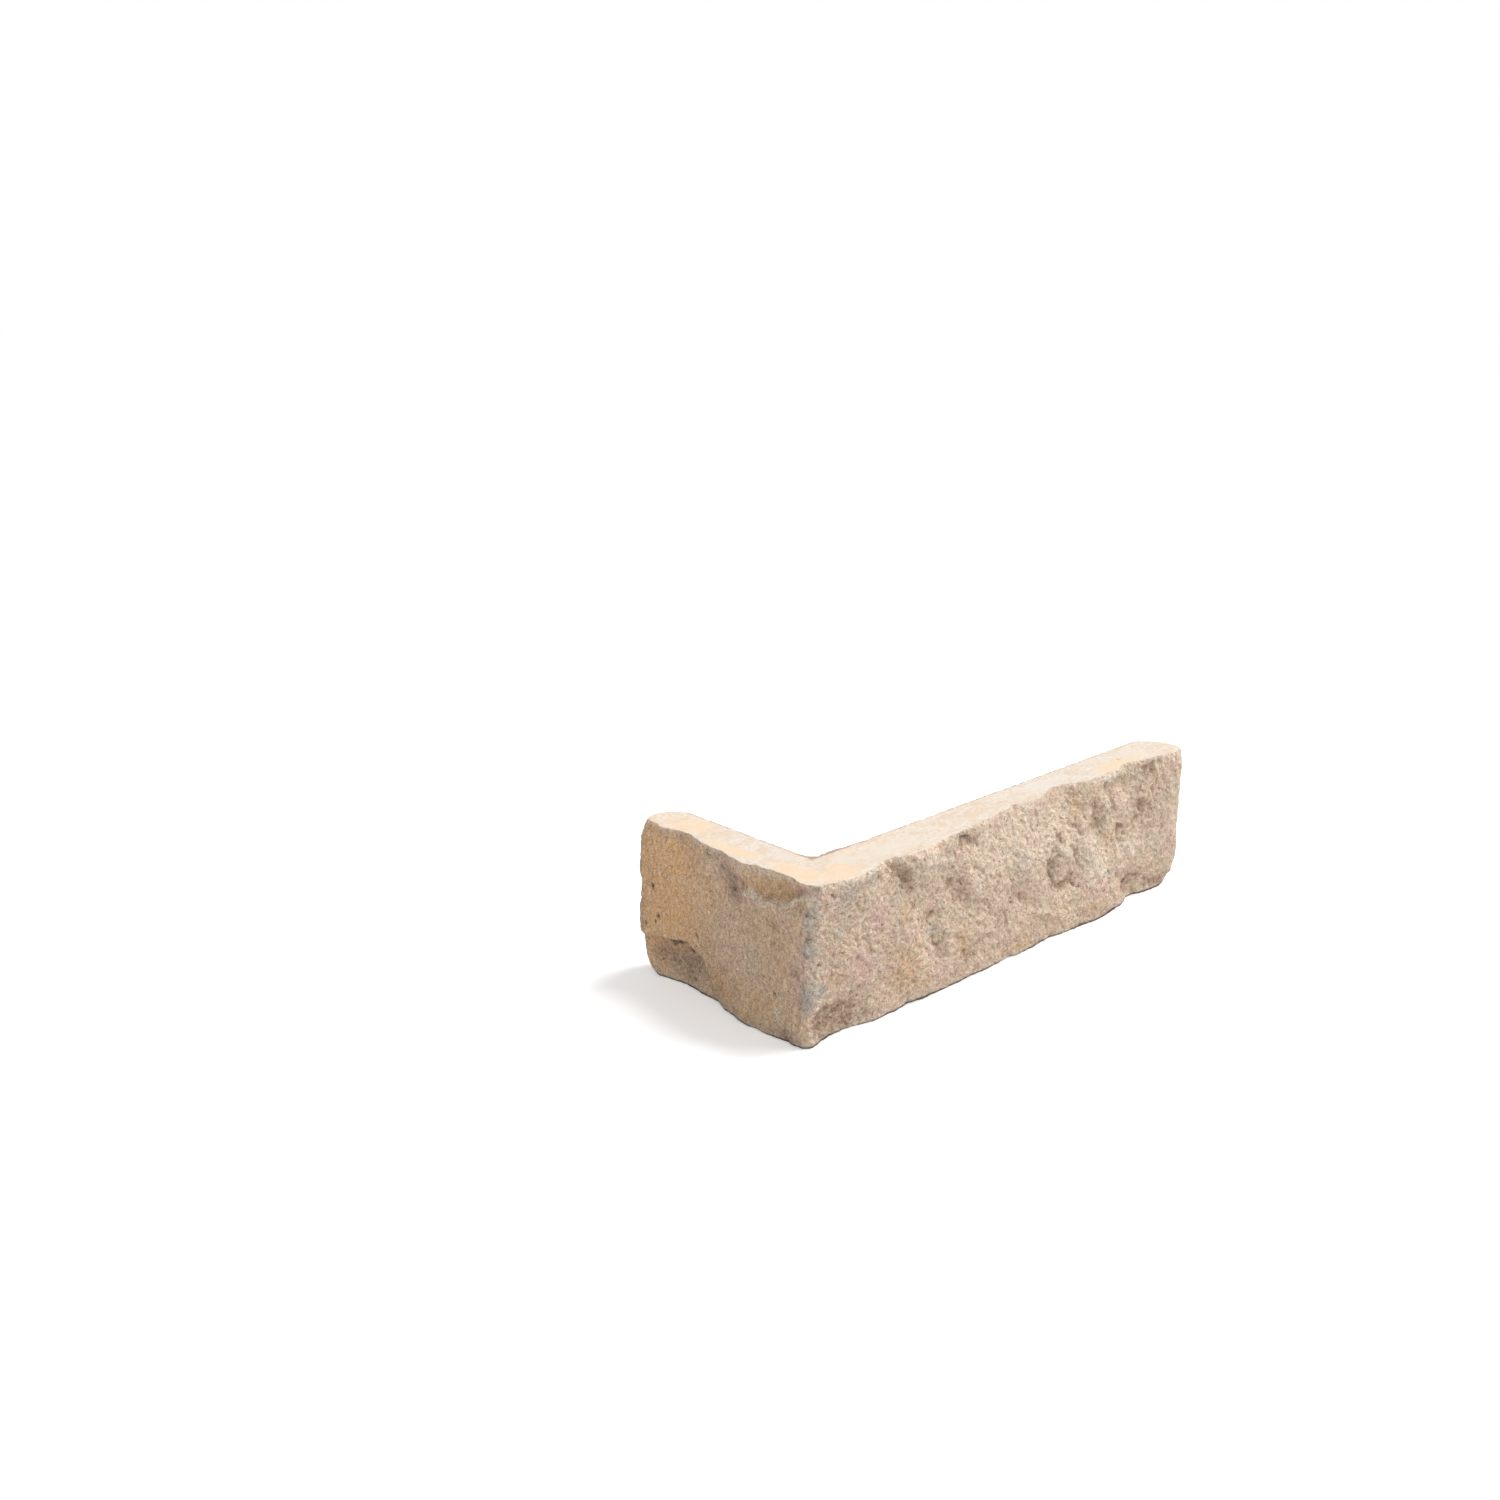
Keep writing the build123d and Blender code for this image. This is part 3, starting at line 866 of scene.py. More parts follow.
def wire_rim_shade(tree: Tree, given: Outputs) -> Wires:
    """The dark line where the top meets the two backs, painted shade with some dirt, broken up by noise.

    Args:
        tree: the group's tree.
        given: the group's inputs.

    Returns:
        The rim's mask.
    """
    where = here(tree)
    parts = place(tree, "ShaderNodeSeparateXYZ", {0: where}).outputs
    inward = reckon(tree, "MINIMUM", parts["X"], parts["Y"])
    ragged = speckled(tree, where, RIM_LINE_SCALE, detail=3.0)[0]
    wide = times(tree, given["Width"], reckon(tree, "MULTIPLY_ADD", ragged, RIM_LINE_SWING, RIM_LINE_LEAST))
    near = spread(tree, inward, low=times(tree, wide, -1.0), high=0.0)
    under = reckon(tree, "SUBTRACT", given["Height"], given["Width"])
    return {"Mask": times(tree, near, spread(tree, parts["Z"], low=under, high=given["Height"]))}


RIM_SHADE = Effect(
    "shaded back rim",
    Kind.NUMBER.named("Width", "Height"),
    Kind.NUMBER.named("Mask"),
    wire_rim_shade,
)


def wire_grain(tree: Tree, given: Outputs) -> Wires:
    """Sand grain in the concrete, with thin crests on a slant, painted pale on top as a highlight and dark
    between as shade.

    Args:
        tree: the group's tree.
        given: the group's inputs.

    Returns:
        The grained colour and the grain's height.
    """
    where = here(tree)
    turn = {"Vector": where, "Axis": (0.0, 1.0, 0.0), "Angle": reckon(tree, "RADIANS", given["Lean"])}
    turned = place(tree, "ShaderNodeVectorRotate", turn, rotation_type="AXIS_ANGLE").outputs[0]
    parts = place(tree, "ShaderNodeSeparateXYZ", {0: turned}).outputs
    drawn = times(tree, parts["Z"], given["Stretch"])
    slant = place(tree, "ShaderNodeCombineXYZ", {0: parts["X"], 1: parts["Y"], 2: drawn}).outputs[0]
    coarse = speckled(tree, slant, given["Scale"], detail=4.0, roughness=0.6, distortion=0.5)[0]
    off_crest = reckon(tree, "ABSOLUTE", reckon(tree, "SUBTRACT", coarse, MIDDLE))
    crest = spread(tree, off_crest, *CREST_EDGE)
    fine = speckled(tree, where, times(tree, given["Scale"], FINE_SCALE), detail=3.0, roughness=0.7)[0]
    height = reckon(tree, "MULTIPLY_ADD", fine, FINE_RISE, coarse)
    height = reckon(tree, "MULTIPLY_ADD", crest, CREST_RISE, height)
    # Painted highlight on the crests and painted shade between them, over the grain's own tone.
    pale = times(tree, crest, times(tree, given["Contrast"], CREST_PALE))
    dark = times(tree, spread(tree, fine, *FINE_EDGE), given["Contrast"])
    dark = times(tree, dark, reckon(tree, "SUBTRACT", 1.0, crest))
    lightened = blended(tree, pale, given["Color"], given["Pale"])
    return {"Color": blended(tree, dark, lightened, given["Dark"]), "Height": height}


GRAIN = Effect(
    "sand grain",
    Kind.COLOUR.named("Color", "Pale", "Dark") | Kind.NUMBER.named("Scale", "Contrast", "Lean", "Stretch"),
    Kind.COLOUR.named("Color") | Kind.NUMBER.named("Height"),
    wire_grain,
)


def wire_pinholes(tree: Tree, given: Outputs) -> Wires:
    """Scattered air holes left by the casting, each of its own size and with a ragged rim.

    Args:
        tree: the group's tree.
        given: the group's inputs.

    Returns:
        The holes' mask.
    """
    where = here(tree)
    ragged = speckled(tree, where, times(tree, given["Scale"], RIM_SCALE), detail=2.0)["Color"]
    push = {0: reckon_vector(tree, "SUBTRACT", ragged, (MIDDLE, MIDDLE, MIDDLE))}
    push["Scale"] = reckon(tree, "DIVIDE", RIM_PUSH, given["Scale"])
    pushed = place(tree, "ShaderNodeVectorMath", push, operation="SCALE").outputs[0]
    moved = reckon_vector(tree, "ADD", where, pushed)
    cells = place(tree, "ShaderNodeTexVoronoi", {"Vector": moved, "Scale": given["Scale"]}).outputs
    chance = place(tree, "ShaderNodeSeparateColor", {0: cells["Color"]}).outputs
    is_open = reckon(tree, "LESS_THAN", chance[0], given["Share"])
    size = times(tree, given["Size"], reckon(tree, "MULTIPLY_ADD", chance[1], SIZE_SWING, SIZE_LEAST))
    hole = spread(tree, cells["Distance"], low=size, high=times(tree, size, HOLE_FLOOR))
    return {"Mask": times(tree, hole, is_open)}


PINHOLES = Effect(
    "air holes",
    Kind.NUMBER.named("Scale", "Share", "Size"),
    Kind.NUMBER.named("Mask"),
    wire_pinholes,
)


# Finishes


@dataclass(frozen=True)
class Cloud:
    """One colour that drifts through a finish.

    scale counts its patches to the metre, and stretch draws them out along an axis where it is below 1.
    """

    colour: Colour
    scale: float
    amount: float
    shift: tuple[float, float, float]
    stretch: tuple[float, float, float] = (1.0, 1.0, 1.0)

    def drift(self, tree: Tree, colour: Feed) -> Socket:
        """Lets this colour drift through the one given.

        Args:
            tree: the material's tree.
            colour: the colour under it.

        Returns:
            The clouded colour.
        """
        feeds = {
            "Color": colour,
            "Patch": self.colour,
            "Scale": self.scale,
            "Amount": self.amount,
            "Shift": self.shift,
            "Stretch": self.stretch,
        }
        return CLOUDS.put(tree, feeds)["Color"]


@dataclass(frozen=True)
class Brush:
    """How a stain is laid on: the ragged bits of its edge to the metre, how ragged it is, and how strong."""

    scale: float
    ragged: float
    amount: float

    def lay(self, tree: Tree, colour: Feed, stain: Colour, mask: Feed) -> Socket:
        """Lays a stain over a colour.

        Args:
            tree: the material's tree.
            colour: the colour under the stain.
            stain: the stain's own colour.
            mask: where it lies.

        Returns:
            The stained colour.
        """
        feeds = {
            "Color": colour,
            "Stain": stain,
            "Mask": mask,
            "Scale": self.scale,
            "Ragged": self.ragged,
            "Amount": self.amount,
        }
        return STAIN.put(tree, feeds)["Color"]


@dataclass(frozen=True)
class Skin:
    """The close surface of a finish: its sand grain, its air holes, their painted light and shade, and how it
    shines.

    The scales count grains and holes to the metre, grain_depth is in mm, and hole_depth is in grain depths.
    """

    grain_scale: float
    grain_depth: float
    contrast: float
    hole_scale: float
    hole_share: float
    hole_size: float
    hole_shade: float
    hole_depth: float
    roughness: float
    shine: float
    lean: float = 0.0
    stretch: float = 1.0

    def cover(self, tree: Tree, colour: Feed, pale: Feed, dark: Feed) -> tuple[Socket, Socket]:
        """Adds the grain and the holes to a colour.

        Args:
            tree: the material's tree.
            colour: the colour under them.
            pale: the colour of the grain's crests, a painted highlight.
            dark: the colour between the grains and in the holes, painted shade.

        Returns:
            The colour and the height.
        """
        grain = GRAIN.put(
            tree,
            {
                "Color": colour,
                "Pale": pale,
                "Dark": dark,
                "Scale": self.grain_scale,
                "Contrast": self.contrast,
                "Lean": self.lean,
                "Stretch": self.stretch,
            },
        )
        feeds = {"Scale": self.hole_scale, "Share": self.hole_share, "Size": self.hole_size}
        holes = PINHOLES.put(tree, feeds)["Mask"]
        # Painted shade: the air holes are darkened towards the dark colour.
        shaded = blended(tree, times(tree, holes, self.hole_shade), grain["Color"], dark)
        return shaded, reckon(tree, "SUBTRACT", grain["Height"], times(tree, holes, self.hole_depth))

    def finish(self, name: str, wire: Callable[[Tree], tuple[Socket, Socket]]) -> bpy.types.Material:
        """Makes a material.

        Args:
            name: its name.
            wire: gets the material's tree and gives back its colour and its height.

        Returns:
            The material.
        """
        made = bpy.data.materials.new(name)
        made.use_nodes = True
        tree = made.node_tree
        shader = next(node for node in tree.nodes if node.type == "BSDF_PRINCIPLED")
        colour, height = wire(tree)
        depth = {"Height": height, "Distance": self.grain_depth * MM, "Strength": 1.0}
        bump = place(tree, "ShaderNodeBump", depth).outputs[0]
        rough = {"Roughness": self.roughness, "Specular IOR Level": self.shine}
        feed(tree, shader, {"Base Color": colour, "Normal": bump} | rough)
        return made


@dataclass(frozen=True)
class PigmentedFinish:
    """The hewn outer skin: tan concrete with pigments brushed in, rough with sand.

    crest_edge and crevice_edge say where the pale crests (a painted highlight with some wear) and the dark
    crevices (painted shade with some dirt) start and are full, in the mesh's hollow value: 0 on a sharp
    crest,
    0.5 on a flat and 1 in a deep hollow.
    """

    base: Colour = painted(236, 209, 184)
    clouds: tuple[Cloud, ...] = (
        Cloud(painted(216, 184, 156), 26.0, 0.8, (0.3, 0.1, 0.7)),
        Cloud(painted(222, 190, 178), 75.0, 0.55, (0.6, 0.2, 0.1)),
        Cloud(painted(208, 198, 166), 85.0, 0.5, (0.2, 0.7, 0.4)),
        Cloud(painted(228, 182, 166), 300.0, 0.4, (0.8, 0.5, 0.2)),
        Cloud(painted(206, 194, 158), 340.0, 0.4, (0.1, 0.9, 0.6)),
    )
    tints: dict[Tint, Colour] = field(
        default_factory=lambda: {
            Tint.TAN: painted(244, 192, 136),
            Tint.OCHRE: painted(220, 178, 130),
            Tint.PINK: painted(222, 184, 170),
            Tint.GREY_BLUE: painted(178, 174, 168),
            # Cream, partly a painted highlight.
            Tint.CREAM: painted(246, 232, 212),
            # Brown, partly painted shade.
            Tint.BROWN: painted(166, 134, 110),
            # The dark of painted shade in the pits.
            Tint.PIT_SHADE: painted(66, 50, 40),
        }
    )
    washed: Brush = Brush(28.0, 0.7, 1.0)
    dabbed: Brush = Brush(130.0, 1.6, 0.85)
    # The pale colour of the crests, a painted highlight with some wear.
    crest: Colour = painted(252, 236, 216)
    crest_edge: tuple[float, float] = (0.5, 0.15)
    crest_share: float = 0.45
    pale_share: float = 0.4
    # The dark colour of the crevices, painted shade with some dirt; it also darkens between the grains and in
    # the holes.
    crevice: Colour = painted(122, 86, 60)
    crevice_edge: tuple[float, float] = (0.55, 1.0)
    crevice_share: float = 0.5
    # The colour of the painted contact shadow along the foot.
    foot_shadow_colour: Colour = painted(72, 56, 46)
    foot_shadow_share: float = 0.92
    skin: Skin = Skin(
        grain_scale=420.0,
        grain_depth=1.9,
        contrast=0.8,
        hole_scale=130.0,
        hole_share=0.16,
        hole_size=0.2,
        hole_shade=0.55,
        hole_depth=1.0,
        roughness=0.92,
        shine=0.25,
        lean=45.0,
        stretch=0.5,
    )

    def wire(self, tree: Tree) -> tuple[Socket, Socket]:
        """Wires the clouds, the pigments, the painted highlight on the crests with some wear, the painted
        shade in the hollows with some dirt, and the painted contact shadow along the foot.

        Args:
            tree: the material's tree.

        Returns:
            The colour and the height.
        """
        colour = self.base
        for cloud in self.clouds:
            colour = cloud.drift(tree, colour)
        for tint, stain in self.tints.items():
            brush = self.washed if tint is Tint.TAN else self.dabbed
            colour = brush.lay(tree, colour, stain, kept(tree, tint.value))
        hollow = kept(tree, "hollow")
        # Painted highlight with some wear: the crests of the relief are lightened.
        crest_highlight_and_wear = times(tree, spread(tree, hollow, *self.crest_edge), self.crest_share)
        colour = blended(tree, crest_highlight_and_wear, colour, self.crest)
        # Painted shade with some dirt: the hollows of the relief are darkened.
        deep = times(tree, spread(tree, hollow, *self.crevice_edge), self.crevice_share)
        colour = blended(tree, deep, colour, self.crevice)
        # The grain's crests take part of the crest colour, a painted highlight.
        pale = blended(tree, self.pale_share, self.crest, colour)
        colour, height = self.skin.cover(tree, colour, pale, self.crevice)
        # Painted contact shadow: a dark band darkens the foot of the hewn faces.
        foot_shadow = times(tree, kept(tree, "foot_shadow"), self.foot_shadow_share)
        return blended(tree, foot_shadow, colour, self.foot_shadow_colour), height

    def material(self) -> bpy.types.Material:
        """Builds the material."""
        return self.skin.finish("pigmented hewn face", self.wire)


@dataclass(frozen=True)
class Spill:
    """An oval patch on the top, by the place of its middle and its reaches along X and Y, in mm."""

    x: float
    y: float
    reach_x: float
    reach_y: float


@dataclass(frozen=True)
class BareFinish:
    """Bare cast concrete of the bed and the top: cream, smooth and faintly clouded.

    top is the level of the stone's top, where the spills and the dark inner rim line of painted shade and
    dirt lie, in mm.
    """

    top: float
    name: str = "bare cast concrete"
    base: Colour = painted(212, 204, 194)
    clouds: tuple[Cloud, ...] = (
        Cloud(painted(220, 198, 172), 30.0, 0.5, (0.9, 0.4, 0.2), (0.5, 0.8, 1.0)),
        Cloud(painted(212, 208, 204), 60.0, 0.6, (0.1, 0.8, 0.5), (0.4, 1.0, 1.0)),
        Cloud(painted(204, 182, 158), 150.0, 0.7, (0.5, 0.3, 0.9), (0.6, 1.0, 0.6)),
        Cloud(painted(198, 174, 148), 420.0, 0.65, (0.3, 0.7, 0.1)),
    )
    spilt: Colour = painted(220, 194, 162)
    spills: tuple[Spill, ...] = (
        Spill(-20, -8, 15, 30),
        Spill(-4, -24, 24, 12),
        Spill(2, -17, 9, 9),
        Spill(-22, 40, 9, 30),
        Spill(-14, 84, 16, 22),
        Spill(262, -20, 40, 9),
    )
    greyed: Colour = painted(210, 200, 189)
    greys: tuple[Spill, ...] = (
        Spill(12, -12, 9, 14),
        Spill(42, -17, 34, 14),
        Spill(-8, 14, 8, 12),
        Spill(190, -12, 40, 8),
        Spill(284, -14, 16, 12),
    )
    spill_depth: float = 12.0
    wiped: Brush = Brush(55.0, 1.6, 0.72)
    # The dark of the grain and the holes, painted shade.
    crevice: Colour = painted(176, 150, 124)
    # The colour of the inner rim line, painted shade with some dirt.
    rim: Colour = painted(150, 122, 104)
    rim_shade_width: float = 2.4
    rim_shade_share: float = 0.85
    skin: Skin = Skin(
        grain_scale=700.0,
        grain_depth=0.12,
        contrast=0.2,
        hole_scale=90.0,
        hole_share=0.06,
        hole_size=0.1,
        hole_shade=0.7,
        hole_depth=4.0,
        roughness=0.85,
        shine=0.3,
    )

    def spotted(self, tree: Tree, spots: tuple[Spill, ...]) -> Feed:
        """A mask of patches on the top.

        Args:
            tree: the material's tree.
            spots: the patches.

        Returns:
            The mask that holds every one of them, or 0 where there is none.
        """
        mask = 0.0
        for spot in spots:
            centre = (spot.x * MM, spot.y * MM, self.top * MM)
            reach = (spot.reach_x * MM, spot.reach_y * MM, self.spill_depth * MM)
            mask = SPOT.put(tree, {"Mask": mask, "Center": centre, "Reach": reach})["Mask"]
        return mask

    def wire(self, tree: Tree) -> tuple[Socket, Socket]:
        """Wires the clouds, the spills and the dark inner rim line, painted shade with some dirt.

        Args:
            tree: the material's tree.

        Returns:
            The colour and the height.
        """
        colour = self.base
        for cloud in self.clouds:
            colour = cloud.drift(tree, colour)
        for stain, spots in ((self.greyed, self.greys), (self.spilt, self.spills)):
            colour = self.wiped.lay(tree, colour, stain, self.spotted(tree, spots))
        # Painted shade with some dirt: a dark line along the top's inner rim.
        rim = RIM_SHADE.put(tree, {"Width": self.rim_shade_width * MM, "Height": self.top * MM})["Mask"]
        colour = blended(tree, times(tree, rim, self.rim_shade_share), colour, self.rim)
        return self.skin.cover(tree, colour, self.base, self.crevice)

    def material(self) -> bpy.types.Material:
        """Builds the material."""
        return self.skin.finish(self.name, self.wire)


def screeded(top: float) -> BareFinish:
    """The finish of the two backs: grey screeded concrete, coarser than the top's.

    Args:
        top: the level of the stone's top, in mm.

    Returns:
        The finish.
    """
    coarser = replace(
        BareFinish.skin, grain_scale=380.0, grain_depth=0.7, contrast=0.45, hole_share=0.14, hole_size=0.16
    )
    clouds = (
        Cloud(painted(192, 182, 168), 26.0, 0.8, (0.2, 0.6, 0.3)),
        Cloud(painted(214, 204, 190), 70.0, 0.6, (0.7, 0.1, 0.8), (1.0, 1.0, 0.5)),
        Cloud(painted(184, 176, 164), 190.0, 0.5, (0.4, 0.9, 0.5)),
    )
    return BareFinish(
        top=top,
        name="screeded back",
        base=painted(206, 198, 186),
        clouds=clouds,
        spills=(),
        greys=(),
        # The dark of the grain and the holes, painted shade.
        crevice=painted(132, 118, 102),
        skin=coarser,
    )


# The stone


def rows(items: bpy.types.bpy_prop_collection, name: str) -> np.ndarray:
    """A property of every point or face.

    Args:
        items: the points or the faces.
        name: the property, which is three numbers.

    Returns:
        One row of three for each.
    """
    flat = np.empty(len(items) * 3)
    items.foreach_get(name, flat)
    return flat.reshape(-1, 3)


@dataclass
class CornerStone:
    """The one cast piece: the CAD solid, hewn and roughened on its outer faces."""

    node: str = "corner_stone"
    weld: float = 0.001
    first_cell: float = 1.3
    cell: float = 0.86
    most_triangles: int = 190000
    # The flats keep sharp rims.
    rounded: float = 0.7
    edge_run: float = 2.6
    flat_ease: float = 1.4
    flat_gap: float = 0.25
    upright: float = 0.5
    # The hewn faces.
    held_depth: float = 18.0
    corner_ease: float = 8.0
    long_face: HewnFace = LONG_FACE
    short_face: HewnFace = SHORT_FACE
    ridges: Unevenness = Unevenness(Texture.BROKEN, 3.4, 0.7, stretch=1.8, lean=-45, seed=41.0)
    crumbs: Unevenness = Unevenness(Texture.ROLLING, 2.4, 0.6, seed=47.0)
    short_rough: float = 0.55
    far_smooth: float = 0.6
    upward: float = 0.6
    # The two free ends, and the chip at the foot of the short leg's.
    end_reach: float = 26.0
    end_unevenness: Unevenness = Unevenness(Texture.ROLLING, 14.0, 1.6, seed=61.0)
    end_chip: float = 25.0
    end_chip_depth: float = 3.6
    end_chip_ease: float = 2.0
    # The burr on the top's inner rim, with a lump beside the inner corner.
    burr: Unevenness = Unevenness(Texture.BROKEN, 8.0, 0.8, seed=113.0)
    burr_height: float = 3.0
    burr_depth: float = 0.5
    lump: Hump = Hump(15.0, 3.0, 12.0, 7.0, 2.6)
    # The foot's painted contact shadow, a dark band along the bottom of the hewn faces.
    foot_shadow_height: float = 1.3
    foot_shadow_fade: float = 1.2
    foot_shadow_edge: Unevenness = Unevenness(Texture.ROLLING, 26.0, 1.8, seed=107.0)
    # The hollows, where the finish paints shade with some dirt, and the crests, where it paints a highlight
    # with some
    # wear: rounds of smoothing, and the depth in mm that then counts as full.
    hollows: tuple[tuple[int, float], ...] = ((6, 0.35), (40, 1.4))

    def __post_init__(self) -> None:
        """Reads the stone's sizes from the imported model, in mm."""
        low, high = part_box(self.node)
        self.low = np.array(low) / MM
        self.high = np.array(high) / MM

    def build(self) -> bpy.types.Object:
        """Makes the finished stone.

        Returns:
            The stone's object, which rides on the root body.
        """
        piece = self.cast()
        self.hew()
        self.even_out(self.cell)
        self.sharpen()
        self.roughen()
        self.thin()
        self.paint()
        self.dress()
        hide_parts(self.node)
        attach(piece, "root")
        log.info("%s: %d faces", piece.name, len(piece.data.polygons))
        return piece

    def cast(self) -> bpy.types.Object:
        """Copies the CAD solid, joins its doubled points and makes its faces small and even.

        Returns:
            The stone's object, which the other methods go on with.
        """
        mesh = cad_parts[self.node].data.copy()
        mesh.materials.clear()
        shell = bmesh.new()
        shell.from_mesh(mesh)
        bmesh.ops.remove_doubles(shell, verts=shell.verts, dist=self.weld * MM)
        shell.to_mesh(mesh)
        shell.free()
        self.piece = bpy.data.objects.new("hewn_corner_stone", mesh)
        bpy.context.scene.collection.objects.link(self.piece)
        self.even_out(self.first_cell)
        return self.piece

    def even_out(self, cell: float) -> None:
        """Gives the piece a new mesh of even faces.

        Args:
            cell: the width of a face, in mm.
        """
        remesh = self.piece.modifiers.new("even faces", "REMESH")
        remesh.mode = "VOXEL"
        remesh.voxel_size = cell * MM
        self.apply()

    def thin(self) -> None:
        """Joins faces, the flat ones first, until the piece holds no more triangles than most_triangles."""
        triangles = sum(len(face.vertices) - 2 for face in self.piece.data.polygons)
        fewer = self.piece.modifiers.new("fewer faces", "DECIMATE")
        fewer.ratio = min(1.0, self.most_triangles / triangles)
        self.apply()

    def apply(self) -> None:
        """Puts the mesh that the piece's modifiers give in place of its own."""
        graph = bpy.context.evaluated_depsgraph_get()
        changed = bpy.data.meshes.new_from_object(self.piece.evaluated_get(graph))
        self.piece.modifiers.clear()
        old = self.piece.data
        self.piece.data = changed
        bpy.data.meshes.remove(old)

    def sharpen(self) -> None:
        """Draws the rounded rims back out to the bed and to the top."""
        points = self.read()
        for level, up in ((self.low[2], 1.0), (self.high[2], -1.0)):
            gap = (points[:, 2] - level) * up
            near = gap < self.edge_run
            moved = (gap[near] - self.rounded) * self.edge_run / (self.edge_run - self.rounded)
            points[near, 2] = level + up * np.maximum(moved, 0.0)
        self.write(points)

    def read(self) -> np.ndarray:
        """The piece's points in mm, one row each."""
        return rows(self.piece.data.vertices, "co") / MM

    def write(self, points: np.ndarray) -> None:
        """Puts the points back, held between the bed and the top.

        Args:
            points: one row for each point, in mm.
        """
        points[:, 2] = np.clip(points[:, 2], self.low[2], self.high[2])
        self.piece.data.vertices.foreach_set("co", (points * MM).ravel())
        self.piece.data.update()

    def hew(self) -> None:
        """Moves the outer faces out or in. The backs stay, and what lies between follows by its depth."""
        points = self.read()
        x, y, z = points.T.copy()
        deep = y < 0
        out = self.long_face.relief(x[deep], z[deep])
        points[deep, 1] -= out * eased(-y[deep] / self.held_depth)
        deep = x < 0
        out = self.short_face.relief(y[deep], z[deep])
        points[deep, 0] -= out * eased(-x[deep] / self.held_depth)
        for axis in (0, 1):
            near = points[:, axis] > self.high[axis] - self.end_reach
            places = points[near][:, (1 - axis, axis, 2)]
            share = eased((points[near, axis] - self.high[axis] + self.end_reach) / self.end_reach)
            points[near, axis] += self.end_unevenness.heights(places) * share
        near = points[:, 1] > self.high[1] - self.end_reach
        share = eased((points[near, 1] - self.high[1] + self.end_reach) / self.end_reach)
        below = eased((self.end_chip - points[near, 2]) / self.end_chip_ease + 0.5)
        points[near, 1] -= self.end_chip_depth * share * below
        self.write(points)

    def from_back(self, points: np.ndarray) -> np.ndarray:
        """How far each point lies in front of the nearer of the two backs."""
        return -np.minimum(points[:, 0], points[:, 1])

    def from_flats(self, points: np.ndarray) -> np.ndarray:
        """How far each point lies from the nearest of the flat faces: the bed, the top and the two backs.

        Args:
            points: one row for each point, in mm.

        Returns:
            The distances in mm.
        """
        z = points[:, 2]
        from_bed = np.minimum(z - self.low[2], self.high[2] - z)
        return np.minimum(from_bed, np.maximum(self.from_back(points), 0.0))

    def roughen(self) -> None:
        """Raises the close grain of the hewn faces and the burr on the top's inner rim."""
        points = self.read()
        hewn = eased(self.from_flats(points) / self.flat_ease)
        coarse = np.where(points[:, 1] < points[:, 0], 1.0, self.short_rough)
        coarse *= 1.0 - self.far_smooth * eased((points[:, 0] - self.high[0]) / self.end_reach + 1.0)
        rough = np.zeros(len(points))
        on = hewn > 0.0
        rough[on] = self.ridges.heights(points[on]) + self.crumbs.heights(points[on])
        rim = eased((points[:, 2] - self.high[2]) / self.burr_height + 1.0)
        rim *= np.abs(self.from_back(points)) < self.burr_depth
        on = rim > 0.0
        lump = self.lump.share(points[on, 0], points[on, 1])
        rim[on] *= self.burr.heights(points[on]) * (1.0 + lump) + self.lump.proud * lump
        outward = rows(self.piece.data.vertices, "normal")
        points += outward * (rough * coarse * hewn + rim)[:, None] * (1.0, 1.0, self.upward)
        self.write(points)

    def smoothed(self, points: np.ndarray, rounds: int) -> np.ndarray:
        """The points with each one drawn towards its neighbours.

        Args:
            points: one row for each point.
            rounds: how often they are drawn.

        Returns:
            The smoothed points, one row each.
        """
        edges = self.piece.data.edges
        ends = np.empty(len(edges) * 2, dtype=np.int64)
        edges.foreach_get("vertices", ends)
        first, second = ends.reshape(-1, 2).T
        count = np.bincount(ends, minlength=len(points))[:, None]
        soft = points.copy()
        for _ in range(rounds):
            total = np.empty_like(soft)
            for axis in range(3):
                from_second = np.bincount(first, weights=soft[second, axis], minlength=len(points))
                from_first = np.bincount(second, weights=soft[first, axis], minlength=len(points))
                total[:, axis] = from_second + from_first
            soft = 0.5 * soft + 0.5 * total / count
        return soft

    def paint(self) -> None:
        """Keeps on the mesh how hollow each place is, how much painted contact shadow lies at its foot, and
        how much of each tint it holds.
        """
        points = self.read()
        normals = rows(self.piece.data.vertices, "normal")
        hollow = np.zeros(len(points))
        for rounds, depth in self.hollows:
            sunk = self.smoothed(points, rounds) - points
            hollow += np.clip((sunk * normals).sum(axis=1) / depth, -1.0, 1.0) / len(self.hollows)
        # The hollow value places the painted shade in the hollows and the painted highlight on the crests.
        self.keep("hollow", 0.5 + 0.5 * hollow)
        x, y, z = points.T
        # The band of painted contact shadow along the foot, ragged at its top.
        foot = self.foot_shadow_height + self.foot_shadow_edge.heights(np.column_stack((x, y, np.zeros_like(z))))
        self.keep("foot_shadow", eased((foot - z) / self.foot_shadow_fade + 0.5))
        on_long = eased((x - y) / self.corner_ease + 0.5)
        for tint in Tint:
            on_face = on_long * self.long_face.stained(tint, x, z)
            on_face += (1.0 - on_long) * self.short_face.stained(tint, y, z)
            self.keep(tint.value, on_face)

    def keep(self, name: str, values: np.ndarray) -> None:
        """Writes one value for each point as a mesh attribute."""
        layer = self.piece.data.attributes.new(name, "FLOAT", "POINT")
        layer.data.foreach_set("value", values.astype(np.float32))

